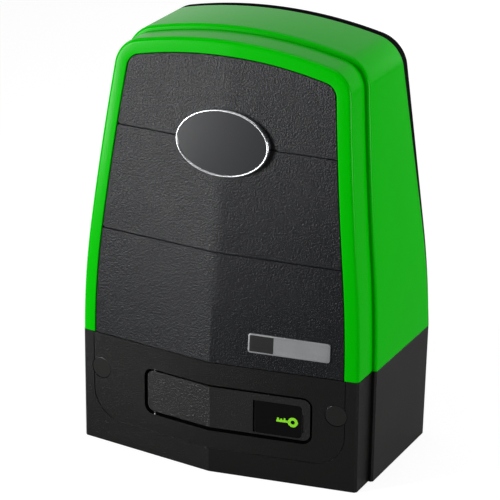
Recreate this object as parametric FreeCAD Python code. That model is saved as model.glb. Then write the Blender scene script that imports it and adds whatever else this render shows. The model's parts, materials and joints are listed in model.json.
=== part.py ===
import FreeCAD, Part

import math
import os

V = FreeCAD.Vector

# Sliding gate motor. Millimetres, +Z up, +X to the right of someone facing the door, -Y towards them.
# The origin is on the underside, at the centre of the four fixing holes.

# Casing seen from the front
front_width = 236.0
step_out = 3.5
seam_z = 92.5
apex_z = 340.0
crown_r = 360.0
corner_r = 23.0
side_lean = math.radians(6.4)
bend_run = 44.0
front_chamfer = 1.8
step_chamfer = 1.4

# Casing seen from the side
crease_y = -96.5
prow = 16.5
crease_lean = (11.5, 33.3)
frame_lean = (3.8, 18.4)
frame_depth = 26.3
rear_y = 52.8
rear_lean = 24.4
panel_edge = 0.8
panel_lean = 4.1
tuck_front = 2.5
tuck_rear = 2.6

# Walls and clearances
cover_wall = 3.0
base_wall = 3.5
floor_t = 6.0
body_gap = 0.3
running_gap = 0.05
lip_height = 6.0
lip_t = 2.5
panel_lip = 5.0
rib_inset = 34.0
middle_rib_x = 60.0

# Fascia and badges
fascia_margin = 11.7
fascia_gap = 0.4
fascia_recess = 0.6
fascia_t = 3.0
fascia_flange = 5.0
groove_drops = (159.0, 75.3)
groove_w = 1.2
groove_depth = 0.8
badge_half = (38.7, 25.2)
badge_t = 2.4
badge_rim = 1.8
plate_size = (64.5, 15.5)
plate_at = (63.0, 113.5)
plate_t = 1.0
glue_t = 0.15

# Front moulding of the base
inset_margin = 9.7
inset_z = 20.0
inset_r = 25.0
inset_line = 0.7
plug_inset = 17.0
plug_z = 62.8
plug_r = 8.7
plug_t = 1.6
pocket_left = -60.0
pocket_inset = 35.5
pocket_z = (35.0, 74.0)
pocket_r = 8.0
pocket_depth = 17.0
pocket_wall = 2.0

# Release door, its key flap and the cam lock
leaf_gap = 2.3
leaf_recess = 1.5
leaf_t = 3.0
hinge_inset = 8.0
hinge_pin_r = 1.5
knuckle_r = 2.7
flap_w = 37.9
flap_inset = 9.2
flap_z = (39.2, 65.6)
flap_r = 3.0
flap_t = 2.0
flap_pin_r = 0.7
flap_knuckle_r = 1.3
flap_pin_end = 1.8
flap_swing_gap = 0.7
tab_points = [(0.7, 59.8), (5.3, 54.8), (5.9, 48.6), (0.7, 43.2)]
tab_depth = 1.0
lock_inset = 22.5
lock_z = 52.5
lock_r = 6.0
lock_housing_r = 9.0
lock_depth = 13.0
cam_reach = 19.2
cam_w = 8.0
cam_t = 2.0

# Fixing holes and cable entry
bolt_inset = 23.0
bolt_y = 32.0
bolt_hole_r = 5.5
bolt_pad_r = 12.0
bolt_pad_h = 4.0
entry_inset = 34.0
entry_r = 10.0
grommet_wall = 3.0
foot_bolt_xs = (-60.0, 80.0)
foot_bolt_ys = (-16.0, 8.0)
foot_bolt_r = 3.0
screw_r = 2.5
screw_head_r = 4.3
screw_head_t = 3.6

# Worm drive
axis_x = -10.0
axis_z = 60.0
gear_y = -4.0
module = 2.5
wheel_teeth = 36
wheel_width = 22.0
worm_pitch_r = 16.0
pressure = math.radians(20.0)
backlash = 0.5
tip_gap = 0.6

# Gearbox
case_wall = 4.0
case_gap = 1.5
foot_t = 8.0
chamber_front = -40.0
chamber_rear = 10.0
neck_r = 25.0
neck_end = 54.0
cover_plate_t = 5.0
gasket_t = 1.0
tower_wall = 5.0
tower_top = 106.0
motor_flange_t = 6.0
lug_r = 6.0
lug_angles = (0, 46, 134, 180, 226, 314)
web_depth = 5.0
worm_turns = 6
worm_run_out = 4.0
lower_bearing_z = 22.0
motor_half = 35.0
motor_shaft_r = 6.0
cap_bore_r = 4.0
bolt_r = 4.0

# Shafts and bearings: bore radius, outer radius, width
front_bearing = (10.0, 18.5, 9.0)
rear_bearing = (12.5, 21.0, 9.0)
seal_w = 7.0
lower_bearing = (5.0, 15.0, 9.0)
upper_bearing = (8.5, 20.0, 12.0)

# Rack pinion
pinion_module = 4.0
pinion_teeth = 17
pinion_gap = 2.0
pinion_width = 34.0
pinion_bore_r = 11.0
key_size = 6.0
washer_r = 17.0
washer_t = 3.0
bolt_head_r = 6.5
bolt_head_t = 5.0

# Clutch
dog_count = 4
dog_angle = 40.0
dog_h = 3.5
dog_inner_r = 15.0
sleeve_length = 12.0
sleeve_r = 19.5
sleeve_groove_r = 15.5
fork_t = 4.4
fork_r = 24.0
spline_w = 3.0
spline_r = 14.0
release_travel = 5.0
release_r = 3.0
release_x = -38.0
release_z = 54.0

# Motor
can_r = 32.0
can_wall = 2.5
can_drop = 24.0
cap_h = 18.0
brush_plate_t = 2.5
magnet_t = 6.0
armature_r = 22.5
armature_gaps = (26.0, 18.0)
armature_slots = 12
commutator_r = 13.0
commutator_drops = (11.5, 1.0)

# Deck, battery and controller
deck_z = 115.0
deck_t = 3.0
deck_gap = 4.0
post_inset = 12.0
post_y = 14.0
post_r = 5.0
battery_side = 23.0
battery_right = -30.0
battery_y = (-62.0, 32.0)
battery_drop = 71.0
strap_t = 2.0
strap_w = 20.0
bracket_gaps = (4.0, 7.0)
bracket_y = (-34.0, 26.0)
bracket_drop = 94.0
window_margins = (30.0, 15.0)
bracket_t = 2.0
controller_inset = 8.0
controller_y = (-42.0, 8.0)
controller_h = 52.0
controller_wall = 2.0
terminal_h = 15.0
board_t = 1.6
board_y = -30.0
display_size = (34.0, 22.0)
display_at = (10.0, 22.0)
button_insets = (44.0, 31.0, 18.0)
button_rise = 33.0
button_r = 3.6
button_proud = 1.5
button_travel = 1.2
switch_t = 3.4
root_ease = 0.012

far = 160.0
half_width = front_width / 2
inset_half = half_width - inset_margin
rib_xs = (rib_inset - half_width, middle_rib_x, half_width - rib_inset)
plug_at = (half_width - plug_inset, plug_z)
pocket_x = (pocket_left, half_width - pocket_inset)
flap_x = (pocket_x[1] - flap_inset - flap_w, pocket_x[1] - flap_inset)
lock_at = (pocket_x[1] - lock_inset, lock_z)
bolt_x = half_width - bolt_inset
entry_x = entry_inset - half_width
post_at = (half_width - post_inset, post_y)
groove_heights = (apex_z - groove_drops[0], apex_z - groove_drops[1])
corner_y = crease_y + prow
step_y = corner_y + frame_depth
prow_angle = math.atan(prow / half_width)
cover_z = seam_z + body_gap
wheel_pitch_r = module * wheel_teeth / 2
worm_x = axis_x + wheel_pitch_r + worm_pitch_r
wheel_tip_r = wheel_pitch_r + module
wheel_root_r = wheel_pitch_r - module - tip_gap
chamber_r = wheel_tip_r + case_gap
case_r = chamber_r + case_wall
tower_r = upper_bearing[1] + tower_wall
battery_z = deck_z + deck_t
battery_x = (battery_side - half_width, battery_right)
battery_h = apex_z - battery_drop - battery_z
bracket_x = (battery_x[1] + bracket_gaps[0], worm_x + can_r + bracket_gaps[1])
bracket_z = apex_z - bracket_drop
controller_x = (bracket_x[0] + controller_inset, bracket_x[1] - controller_inset)
controller_z = bracket_z + bracket_t
display_x = (controller_x[0] + display_at[0], controller_x[0] + display_at[0] + display_size[0])
display_z = (controller_z + display_at[1], controller_z + display_at[1] + display_size[1])
button_z = controller_z + button_rise
flange_top = tower_top + motor_flange_t
can_top = bracket_z - can_drop
armature_z = (flange_top + armature_gaps[0], can_top - armature_gaps[1])
commutator_z = (can_top - commutator_drops[0], can_top - commutator_drops[1])
worm_bottom = axis_z - worm_turns / 2 * math.pi * module - worm_run_out
front_screw_y = corner_y + 6
hinge_x = pocket_left + hinge_inset
hinge_skin_y = crease_y + prow * abs(hinge_x) / half_width + tuck_front * (1 - pocket_z[0] / seam_z)
hinge_y = hinge_skin_y + leaf_recess + knuckle_r
sleeve_rear = gear_y - wheel_width / 2 - dog_h - 0.5
groove_y = (sleeve_rear - 9.0, sleeve_rear - 4.0)
fork_front = groove_y[0] + body_gap
bearing_front = chamber_front - gasket_t - cover_plate_t - 1.5


# Plain solids

def block(x, y, z):
    return Part.makeBox(x[1] - x[0], y[1] - y[0], z[1] - z[0], V(x[0], y[0], z[0]))


def rod_y(r, y0, y1, x, z):
    return Part.makeCylinder(r, y1 - y0, V(x, y0, z), V(0, 1, 0))


def rod_z(r, z0, z1, x, y):
    return Part.makeCylinder(r, z1 - z0, V(x, y, z0), V(0, 0, 1))


def join(*shapes):
    return shapes[0].multiFuse(list(shapes[1:])).removeSplitter()


def mirror_x(shape):
    return shape.mirror(V(0, 0, 0), V(1, 0, 0))


def upright_edges(shape, test):
    """The edges of a bar run along Y that pass the test on their place."""
    return [e for e in shape.Edges if e.BoundBox.YLength > 1 and test(e.CenterOfMass)]


def rounded(x, z, r, y0, y1):
    """A rectangle seen from the front, run from y0 to y1, with the radius r on all four corners."""
    bar = block(x, (y0, y1), z)
    return bar.makeFillet(r, upright_edges(bar, lambda p: True))


# Casing

def arc_xz(cx, cz, r, a0, a1):
    angles = (a0, (a0 + a1) / 2, a1)
    return Part.Arc(*[V(cx + r * math.cos(a), 0, cz + r * math.sin(a)) for a in angles]).toShape()


def outline(off):
    """Closed front view, off outside the front frame: upright side, bend, leaning side, corner, crown."""
    low = -far
    bend_r = bend_run / math.tan(side_lean / 2)
    bend_x = half_width - bend_r
    out = V(math.cos(side_lean), 0, math.sin(side_lean))
    up = V(-math.sin(side_lean), 0, math.cos(side_lean))
    foot = V(bend_x, 0, seam_z) + out * bend_r
    crown = V(0, 0, apex_z - crown_r)
    reach = foot - out * corner_r - crown
    along = reach.dot(up)
    run = math.sqrt(along ** 2 - reach.dot(reach) + (crown_r - corner_r) ** 2) - along
    corner = foot - out * corner_r + up * run
    turn = math.atan2(corner.z - crown.z, corner.x - crown.x)
    right = [
        Part.LineSegment(V(half_width + off, 0, low), V(half_width + off, 0, seam_z)).toShape(),
        arc_xz(bend_x, seam_z, bend_r + off, 0, side_lean),
        Part.LineSegment(foot + out * off, corner + out * (corner_r + off)).toShape(),
        arc_xz(corner.x, corner.z, corner_r + off, side_lean, turn),
    ]
    top = arc_xz(0, crown.z, crown_r + off, turn, math.pi - turn)
    bottom = Part.LineSegment(V(-half_width - off, 0, low), V(half_width + off, 0, low)).toShape()
    return Part.Wire(Part.__sortEdges__([bottom, top] + right + [mirror_x(e) for e in right]))


def through(wire):
    """The wire's outline as a bar that runs along Y through the whole object."""
    face = Part.Face(wire)
    face.translate(V(0, -far, 0))
    return face.extrude(V(0, 2 * far, 0))


def skin(x, y, lean, tuck, reach):
    """Side view at x of all that lies beyond a skin: sloped base, upright seam, arc that leans back."""
    low = -far
    high = apex_z + far
    foot = V(x, y + tuck * (seam_z - low) / seam_z, low)
    seam = V(x, y, seam_z)
    middle = V(x, y + lean[0], (seam_z + apex_z) / 2)
    top = V(x, y + lean[1], apex_z)
    points = [top, V(x, top.y, high), V(x, reach, high), V(x, reach, low), foot, seam]
    lines = [Part.LineSegment(a, b).toShape() for a, b in zip(points, points[1:])]
    return Part.Wire(lines + [Part.Arc(seam, middle, top).toShape()])


def ahead_of_prow(depth):
    """Everything ahead of the creased front, pushed back by depth: a ruled loft over the crease."""
    k = far / half_width
    lean = tuple(a + k * (b - a) for a, b in zip(crease_lean, frame_lean))
    side_y = crease_y + depth + prow * k
    wires = [
        skin(-far, side_y, lean, tuck_front, -2 * far),
        skin(0, crease_y + depth, crease_lean, tuck_front, -2 * far),
        skin(far, side_y, lean, tuck_front, -2 * far),
    ]
    return Part.makeLoft(wires, True, True)


def prow_layer(near, deep):
    """The layer of the front between two depths behind its skin."""
    return ahead_of_prow(deep).cut(ahead_of_prow(near))


def ahead_of_step(depth):
    face = Part.Face(skin(-far, step_y + depth, frame_lean, 0, -2 * far))
    return face.extrude(V(2 * far, 0, 0))


def behind(y_seam, y_foot, y_top):
    """Everything behind a back that leans forward above the seam and tucks in below it."""
    slope = (y_top - y_seam) / (apex_z - seam_z)
    low = V(-far, y_foot - (y_seam - y_foot), -seam_z)
    points = [
        low, V(-far, y_seam, seam_z), V(-far, y_seam + slope * (apex_z + far - seam_z), apex_z + far),
        V(-far, 2 * far, apex_z + far), V(-far, 2 * far, low.z), low,
    ]
    return Part.Face(Part.makePolygon(points)).extrude(V(2 * far, 0, 0))


def behind_shell(shift):
    return behind(rear_y + shift, rear_y - tuck_rear + shift, rear_y - rear_lean + shift)


def behind_panel(shift):
    y = rear_y + panel_edge + shift
    return behind(y, y - tuck_rear, y - rear_lean + panel_lean)


def front_edges(shape):
    """The edges round the front of a block that runs back through the object, without its crease."""
    return [
        e for e in shape.Edges
        if e.BoundBox.YMax < 0 and e.BoundBox.ZMax > 1 - far and not abs(e.CenterOfMass.x) < 1e-3
        or e.BoundBox.YMax < 0 and e.BoundBox.ZMin > apex_z - 1
    ]


def casing(inset, rear):
    """The casing's volume, inset inside its skin, up to the back that rear cuts away."""
    front_part = through(outline(-inset)).cut(ahead_of_prow(inset))
    rear_part = through(outline(step_out - inset)).cut(ahead_of_step(inset))
    if inset == 0:
        front_part = front_part.makeChamfer(front_chamfer, front_edges(front_part))
        rear_part = rear_part.makeChamfer(step_chamfer, front_edges(rear_part))
    return front_part.fuse(rear_part).cut(rear)


def above(z):
    return block((-far, far), (-far, far), (z, apex_z + far))


outer = casing(0, behind_shell(0))


# Cover: green shell, black fascia, black back panel and the two badges

def fascia_opening(margin):
    return through(outline(-margin))


def make_cover_shell():
    hollow = casing(cover_wall, behind_shell(far))
    opening = fascia_opening(fascia_margin - fascia_gap).common(ahead_of_prow(cover_wall + 1))
    return outer.common(above(cover_z)).cut(hollow).cut(opening)


def make_fascia():
    face = fascia_opening(fascia_margin).common(prow_layer(fascia_recess, cover_wall + fascia_t))
    flange = fascia_opening(fascia_margin - fascia_flange).common(
        prow_layer(cover_wall, cover_wall + fascia_t))
    body = face.fuse(flange).common(above(cover_z))
    for z in groove_heights:
        groove = block((-far, far), (-far, 0), (z - groove_w / 2, z + groove_w / 2))
        body = body.cut(groove.common(prow_layer(fascia_recess - 1, fascia_recess + groove_depth)))
    return body.removeSplitter()


def make_rear_panel():
    wedge = through(outline(step_out)).cut(behind_panel(0)).common(behind_shell(0))
    inside = step_out - cover_wall - body_gap
    rim = through(outline(inside)).common(behind_shell(-panel_lip)).cut(behind_panel(0))
    dish = through(outline(inside - lip_t)).cut(behind_panel(-lip_t))
    return join(wedge, rim).cut(dish).common(above(cover_z))


def ellipse(a, b, z, y0, y1):
    curve = Part.Ellipse(V(0, 0, 0), a, b).toShape()
    face = Part.Face(Part.Wire(curve))
    face.rotate(V(0, 0, 0), V(1, 0, 0), 90)
    face.translate(V(0, y0, z))
    return face.extrude(V(0, y1 - y0, 0))


def crease_at(z):
    """How far back the crease lies at height z: the arc through its seam, middle and top."""
    h = (apex_z - seam_z) / 2
    y1, y2 = crease_lean
    u = z - seam_z
    k = (y2 * y2 + 4 * h * h) / (2 * h)
    m = (y1 * y1 + h * h) / h
    centre_y = (k - m) / (y2 / h - 2 * y1 / h)
    centre_u = (m - 2 * y1 * centre_y / h) / 2
    radius = math.hypot(centre_y, centre_u)
    return crease_y + centre_y - math.sqrt(radius ** 2 - (u - centre_u) ** 2)


def badge_plane(depth):
    """Everything ahead of a flat plane that leans with the crease at the badge."""
    z = groove_heights[1]
    half = badge_half[1]
    low, high = crease_at(z - half), crease_at(z + half)
    slope = (high - low) / (2 * half)
    y = (low + high) / 2 + depth
    points = [V(-far, y - slope * far, z - far), V(-far, y + slope * far, z + far)]
    points += [V(-far, -3 * far, z + far), V(-far, -3 * far, z - far), points[0]]
    return Part.Face(Part.makePolygon(points)).extrude(V(2 * far, 0, 0))


def make_oval_badge():
    a, b = (half - badge_rim for half in badge_half)
    plate = ellipse(a, b, groove_heights[1], -far, 0)
    return plate.common(ahead_of_prow(fascia_recess - glue_t)).cut(badge_plane(fascia_recess - badge_t))


def make_badge_rim():
    a, b = badge_half
    z = groove_heights[1]
    ring = ellipse(a, b, z, -far, 0).cut(ellipse(a - badge_rim, b - badge_rim, z, -far, 0))
    return ring.common(ahead_of_prow(fascia_recess - glue_t)).cut(badge_plane(fascia_recess - badge_t - 0.4))


def make_model_plate():
    x = (plate_at[0] - plate_size[0] / 2, plate_at[0] + plate_size[0] / 2)
    z = (plate_at[1] - plate_size[1] / 2, plate_at[1] + plate_size[1] / 2)
    near = fascia_recess - glue_t - plate_t
    return rounded(x, z, 2.0, -far, 0).common(prow_layer(near, near + plate_t))


# Base front moulding with its plugs and the release door

def skin_y(x, z):
    """The front skin of the base at a place seen from the front."""
    return crease_y + prow * abs(x) / half_width + tuck_front * (seam_z - z) / seam_z


def seam_lip():
    """The upright lip inside the cover's foot, as a ring with its inside."""
    front_gap = cover_wall + fascia_t + body_gap
    side_gap = cover_wall + body_gap
    rear_gap = -(panel_lip + body_gap)
    ring = casing(side_gap, behind_shell(rear_gap)).cut(ahead_of_prow(front_gap))
    inside = casing(side_gap + lip_t, behind_shell(rear_gap - lip_t)).cut(ahead_of_prow(front_gap + lip_t))
    return ring, inside


def pocket_bar(grow, y1):
    x = (pocket_x[0] - grow, pocket_x[1] + grow)
    z = (pocket_z[0] - grow, pocket_z[1] + grow)
    return rounded(x, z, pocket_r + grow, -far, y1)


def on_right_half(shape):
    """From a flat layout of the right half, depth along Y, to its place on the slanted half."""
    shape.rotate(V(0, 0, 0), V(0, 0, 1), math.degrees(prow_angle))
    shape.translate(V(0, skin_y(0, lock_at[1]), 0))
    return shape


def cam_slot():
    u = lock_at[0] / math.cos(prow_angle)
    near = lock_depth + body_gap
    slot = block((u - cam_w / 2 - 1, u + cam_w / 2 + 1), (near - 1, near + cam_t + 1),
                 (pocket_z[0] - pocket_wall - 1, pocket_z[0] + 1))
    return on_right_half(slot)


def make_base_front():
    part = outer.common(block((-far, far), (-far, step_y), (0, seam_z)))
    hollow = casing(base_wall, behind_shell(far)).common(
        block((-far, far), (-far, step_y + 1), (-1, seam_z - base_wall)))
    part = part.cut(hollow)
    tray = pocket_bar(pocket_wall, 0).common(prow_layer(0.5, pocket_depth + pocket_wall))
    ring, inside = lip
    upstand = ring.cut(inside).common(block((-far, far), (-far, step_y), (seam_z - 1, seam_z + lip_height)))
    part = join(part, tray, upstand)
    for side in (-1, 1):
        x = side * plug_at[0]
        boss = rod_y(plug_r + 2, corner_y, step_y, x, plug_at[1])
        part = part.fuse(boss.common(casing(base_wall / 2, behind_shell(far))))
        part = part.cut(rod_y(plug_r + 0.15, -far, 0, x, plug_at[1]).common(ahead_of_prow(plug_t + 0.2)))
        part = part.cut(rod_y(screw_head_r + 0.3, -far, front_screw_y, x, plug_at[1]))
        part = part.cut(rod_y(screw_r + 0.2, -far, 0, x, plug_at[1]))
    part = part.cut(pocket_bar(0, 0).common(ahead_of_prow(pocket_depth)))
    part = part.cut(make_door_hinge_pin())
    part = part.cut(rod_y(release_r + body_gap, -far / 2, step_y + 1, release_x, release_z))
    part = part.cut(cam_slot())
    line = rounded((-inset_half, inset_half), (inset_z, far), inset_r, -far, 0)
    inner = rounded((inset_line - inset_half, inset_half - inset_line), (inset_z + inset_line, far),
                    inset_r - inset_line, -far, 0)
    return part.cut(line.cut(inner).common(ahead_of_prow(inset_line)))


def make_side_plugs():
    disc = rod_y(plug_r, -far, 0, plug_at[0], plug_at[1]).common(prow_layer(0.2, 0.2 + plug_t))
    return Part.makeCompound([disc, mirror_x(disc)])


def screw(head_r, head_t, r, length, socket=True):
    """A cap screw whose head's underside is at the origin, shank down -Z."""
    head = Part.makeCylinder(head_r, head_t)
    shank = Part.makeCylinder(r, length, V(0, 0, -length))
    body = head.fuse(shank).removeSplitter()
    if socket:
        body = body.cut(hexagon(head_r * 0.55, head_t * 0.4, head_t))
    return body


def hexagon(r, z0, z1):
    points = [V(r * math.cos(k * math.pi / 3), r * math.sin(k * math.pi / 3), z0) for k in range(7)]
    return Part.Face(Part.makePolygon(points)).extrude(V(0, 0, z1 - z0))


def placed(shape, at, facing):
    """A piece laid out along Z, turned so that its +Z faces the given way."""
    copy = shape.copy()
    copy.Placement = FreeCAD.Placement(V(*at), FreeCAD.Rotation(V(0, 0, 1), V(*facing)))
    return copy


def make_front_screws():
    one = screw(screw_head_r, screw_head_t, screw_r, step_y - front_screw_y + 12)
    return Part.makeCompound([
        placed(one, (side * plug_at[0], front_screw_y, plug_at[1]), (0, -1, 0)) for side in (-1, 1)])


def make_door_hinge_pin():
    return rod_z(hinge_pin_r, pocket_z[0] - pocket_wall, pocket_z[1] + pocket_wall, hinge_x, hinge_y)


def flap_axis():
    x = flap_x[0] + flap_knuckle_r + body_gap
    return x, skin_y(x, lock_at[1]) + leaf_recess + flap_knuckle_r


def lock_piece(r, near, deep):
    """A cylinder on the lock's axis between two depths behind the skin."""
    return on_right_half(rod_y(r, near, deep, lock_at[0] / math.cos(prow_angle), lock_at[1]))


def make_release_door():
    leaf = pocket_bar(-leaf_gap, 0).common(prow_layer(leaf_recess, leaf_recess + leaf_t))
    knuckle = rod_z(knuckle_r, pocket_z[0] + pocket_r, pocket_z[1] - pocket_r, hinge_x, hinge_y)
    floor = leaf_recess + flap_t + body_gap
    frame = rounded((flap_x[0] - 2, flap_x[1] + 2), (flap_z[0] - 1.5, flap_z[1] + 2), flap_r, -far, 0)
    backing = frame.common(prow_layer(leaf_recess + leaf_t - 0.5, floor + leaf_t))
    housing = lock_piece(lock_housing_r, leaf_recess + leaf_t, lock_depth)
    door = join(leaf, knuckle, backing, housing)
    seat_x = (flap_x[0] - flap_swing_gap, flap_x[1] + body_gap)
    seat_z = (flap_z[0] - body_gap, flap_z[1] + body_gap)
    seat = rounded(seat_x, seat_z, flap_r, -far, 0)
    seat = seat.fuse(block((seat_x[0], seat_x[0] + flap_r), (-far, 0), seat_z))
    door = door.cut(seat.common(ahead_of_prow(floor)))
    fx, fy = flap_axis()
    door = door.cut(rod_z(flap_knuckle_r + flap_swing_gap, flap_z[0] - body_gap, flap_z[1] + body_gap, fx, fy))
    door = door.cut(rod_z(flap_pin_r, flap_z[0] - flap_pin_end, flap_z[1] + flap_pin_end, fx, fy))
    door = door.cut(rod_z(hinge_pin_r + running_gap, 0, seam_z, hinge_x, hinge_y))
    door = door.cut(lock_piece(lock_r + running_gap, 0, lock_depth + 1))
    tab = Part.Face(Part.makePolygon([V(flap_x[1] + x, 0, z) for x, z in tab_points + tab_points[:1]]))
    return door.cut(tab.extrude(V(0, -far, 0)).common(ahead_of_prow(leaf_recess + tab_depth)))


def make_flap_pin():
    fx, fy = flap_axis()
    return rod_z(flap_pin_r, flap_z[0] - flap_pin_end, flap_z[1] + flap_pin_end, fx, fy)


def make_key_flap():
    fx, fy = flap_axis()
    bar = rounded(flap_x, flap_z, flap_r, -far, 0)
    bar = bar.cut(block((-far, fx), (-far, 0), (0, seam_z)))
    plate = bar.common(prow_layer(leaf_recess, leaf_recess + flap_t))
    flap = join(plate, rod_z(flap_knuckle_r, flap_z[0], flap_z[1], fx, fy))
    return flap.cut(rod_z(flap_pin_r + running_gap, 0, seam_z, fx, fy))


def make_lock_barrel():
    front = leaf_recess + flap_t + body_gap + 0.1
    barrel = lock_piece(lock_r, front, lock_depth + body_gap)
    u = lock_at[0] / math.cos(prow_angle)
    slot = block((u - 3, u + 3), (front - 1, front + 2.5), (lock_at[1] - 0.7, lock_at[1] + 0.7))
    return barrel.cut(on_right_half(slot))


def make_lock_cam():
    u, z = lock_at[0] / math.cos(prow_angle), lock_at[1]
    near = lock_depth + body_gap
    arm = block((u - cam_reach, u), (near, near + cam_t), (z - cam_w / 2, z + cam_w / 2))
    arm = arm.makeFillet(cam_w / 3, upright_edges(arm, lambda p: p.x < u - cam_reach + 0.01))
    hub = rod_y(cam_w / 2 + 1, near, near + cam_t, u, z)
    nut = rod_y(3.0, near + cam_t, near + cam_t + 1.2, u, z)
    return on_right_half(join(arm, hub, nut))


# Base housing

def make_base_housing():
    span = block((-far, far), (step_y, far), (0, seam_z))
    body = outer.common(span)
    hollow = casing(base_wall, behind_shell(-base_wall)).common(
        block((-far, far), (step_y + base_wall, far), (floor_t, seam_z - base_wall)))
    ring, inside = lip
    upper = inside.common(block((-far, far), (step_y + base_wall, far), (seam_z - base_wall - 1, seam_z + 1)))
    body = body.cut(hollow).cut(upper)
    upstand = ring.cut(inside).common(block((-far, far), (step_y, far), (seam_z - 1, seam_z + lip_height)))
    holes = [(x * bolt_x, y * bolt_y) for x in (-1, 1) for y in (-1, 1)]
    pads = [rod_z(bolt_pad_r, 1, floor_t + bolt_pad_h, *at) for at in holes]
    bosses = [rod_y(screw_r + 4, step_y, step_y + 14, side * plug_at[0], plug_at[1]) for side in (-1, 1)]
    ribs = [block((x - 1.25, x + 1.25), (step_y + 1, step_y + 8), (1, seam_z - base_wall)) for x in rib_xs]
    body = join(body, upstand, *pads, *bosses, *ribs)
    for at in holes:
        body = body.cut(rod_z(bolt_hole_r, -1, floor_t + bolt_pad_h + 1, *at))
    for side in (-1, 1):
        body = body.cut(rod_y(screw_r, step_y - 1, step_y + 13, side * plug_at[0], plug_at[1]))
    body = body.cut(rod_z(entry_r + grommet_wall, -1, floor_t + 1, entry_x, 0))
    body = body.cut(rod_y(neck_r + body_gap, 0, far, axis_x, axis_z))
    body = body.cut(rod_y(release_r + body_gap, -far, step_y + base_wall + 1, release_x, release_z))
    for x, y in foot_bolts():
        body = body.cut(rod_z(foot_bolt_r, 2, floor_t + 1, x, y))
    return body


def make_cable_grommet():
    r = entry_r
    sleeve, flange = r + grommet_wall, r + 2 * grommet_wall
    profile = [(r, 0.5), (sleeve, 0.5), (sleeve, floor_t), (flange, floor_t), (flange, floor_t + 3),
               (r + 2, floor_t + 5), (r + 1.5, floor_t + 9), (r, floor_t + 9)]
    return turned(profile, (entry_x, 0, 0), (0, 0, 1))


def turned(profile, at, axis):
    """A solid of revolution: points of radius and height along the axis."""
    points = [V(r, 0, h) for r, h in profile]
    face = Part.Face(Part.makePolygon(points + points[:1]))
    return placed(face.revolve(V(0, 0, 0), V(0, 0, 1), 360), at, axis)


# Gearbox

def foot_bolts():
    return [(x, y) for x in foot_bolt_xs for y in foot_bolt_ys]


def lug_places():
    reach = case_r + 2
    turns = [math.radians(a) for a in lug_angles]
    return [(axis_x + reach * math.cos(a), axis_z + reach * math.sin(a)) for a in turns]


def make_gearbox_case():
    drum = rod_y(case_r, chamber_front, chamber_rear + case_wall, axis_x, axis_z)
    tower = rod_z(tower_r, floor_t + 2, tower_top, worm_x, gear_y)
    x = (foot_bolt_xs[0] - 8, foot_bolt_xs[1] + 8)
    y = (foot_bolt_ys[0] - 8, foot_bolt_ys[1] + 8)
    foot = block(x, y, (floor_t, floor_t + foot_t))
    foot = foot.makeFillet(5, [e for e in foot.Edges if e.BoundBox.ZLength > 1])
    neck = rod_y(neck_r, chamber_rear, neck_end, axis_x, axis_z)
    flange = motor_square(motor_half, tower_top, flange_top)
    lugs = [rod_y(lug_r, chamber_front, chamber_front + 18, *at) for at in lug_places()]
    webs = [neck_web(a) for a in (40, 140, 220, 320)]
    case = join(drum, tower, foot, neck, flange, *lugs, *webs)
    case = case.cut(rod_y(chamber_r, chamber_front - 1, chamber_rear, axis_x, axis_z))
    case = case.cut(rod_y(spline_r + 1, 0, neck_end, axis_x, axis_z))
    case = case.cut(rod_y(rear_bearing[1], neck_end - seal_w - rear_bearing[2], neck_end + 1, axis_x, axis_z))
    case = case.cut(rod_z(upper_bearing[1], worm_bottom - 1, flange_top + 1, worm_x, gear_y))
    case = case.cut(rod_z(lower_bearing[1], lower_bearing_z, worm_bottom, worm_x, gear_y))
    for at in lug_places():
        case = case.cut(rod_y(screw_r, chamber_front - 1, chamber_front + 14, *at))
    for at in foot_bolts():
        case = case.cut(rod_z(foot_bolt_r + 0.3, 0, floor_t + foot_t + 1, *at))
    for at in motor_screw_places():
        case = case.cut(rod_z(screw_r, flange_top - 10, flange_top + 1, *at))
    return case


def neck_web(angle):
    """A triangular rib between the drum's back and the neck."""
    a = V(neck_r - 1, chamber_rear + case_wall - 1, 0)
    points = [a, V(case_r - 8, a.y, 0), V(neck_r - 1, a.y + 24, 0), a]
    web = Part.Face(Part.makePolygon(points)).extrude(V(0, 0, case_wall))
    web.translate(V(0, 0, -case_wall / 2))
    web.rotate(V(0, 0, 0), V(0, 1, 0), -angle)
    web.translate(V(axis_x, 0, axis_z))
    return web


def motor_square(half, z0, z1):
    plate = block((worm_x - half, worm_x + half), (gear_y - half, gear_y + half), (z0, z1))
    return plate.makeFillet(6, [e for e in plate.Edges if e.BoundBox.ZLength > 1 and e.BoundBox.XLength < 1])


def motor_screw_places():
    d = motor_half - 7
    return [(worm_x + x * d, gear_y + y * d) for x in (-1, 1) for y in (-1, 1)]


def lid_ring(y0, y1):
    disc = rod_y(case_r, y0, y1, axis_x, axis_z)
    return join(disc, *[rod_y(lug_r, y0, y1, *at) for at in lug_places()])


def make_gearbox_gasket():
    ring = lid_ring(chamber_front - gasket_t, chamber_front)
    ring = ring.cut(rod_y(chamber_r, -far, 0, axis_x, axis_z))
    for at in lug_places():
        ring = ring.cut(rod_y(screw_r + 0.3, -far, 0, *at))
    return ring


def make_gearbox_cover():
    inner = chamber_front - gasket_t
    face = inner - cover_plate_t
    ro = front_bearing[1]
    boss = rod_y(ro + 4, bearing_front - 2, face + 1, axis_x, axis_z)
    guide = rod_y(release_r + 4, bearing_front - 2, fork_front - release_travel - 2, release_x, release_z)
    cover = join(lid_ring(face, inner), boss, guide)
    cover = cover.cut(rod_y(ro, bearing_front, 0, axis_x, axis_z))
    cover = cover.cut(rod_y(release_r + running_gap, -far, 0, release_x, release_z))
    for at in lug_places():
        cover = cover.cut(rod_y(screw_r + 0.3, -far, 0, *at))
    return cover


def make_gearbox_screws():
    one = screw(screw_head_r, screw_head_t, screw_r, 16)
    y = chamber_front - gasket_t - cover_plate_t
    return Part.makeCompound([placed(one, (x, y, z), (0, -1, 0)) for x, z in lug_places()])


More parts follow.
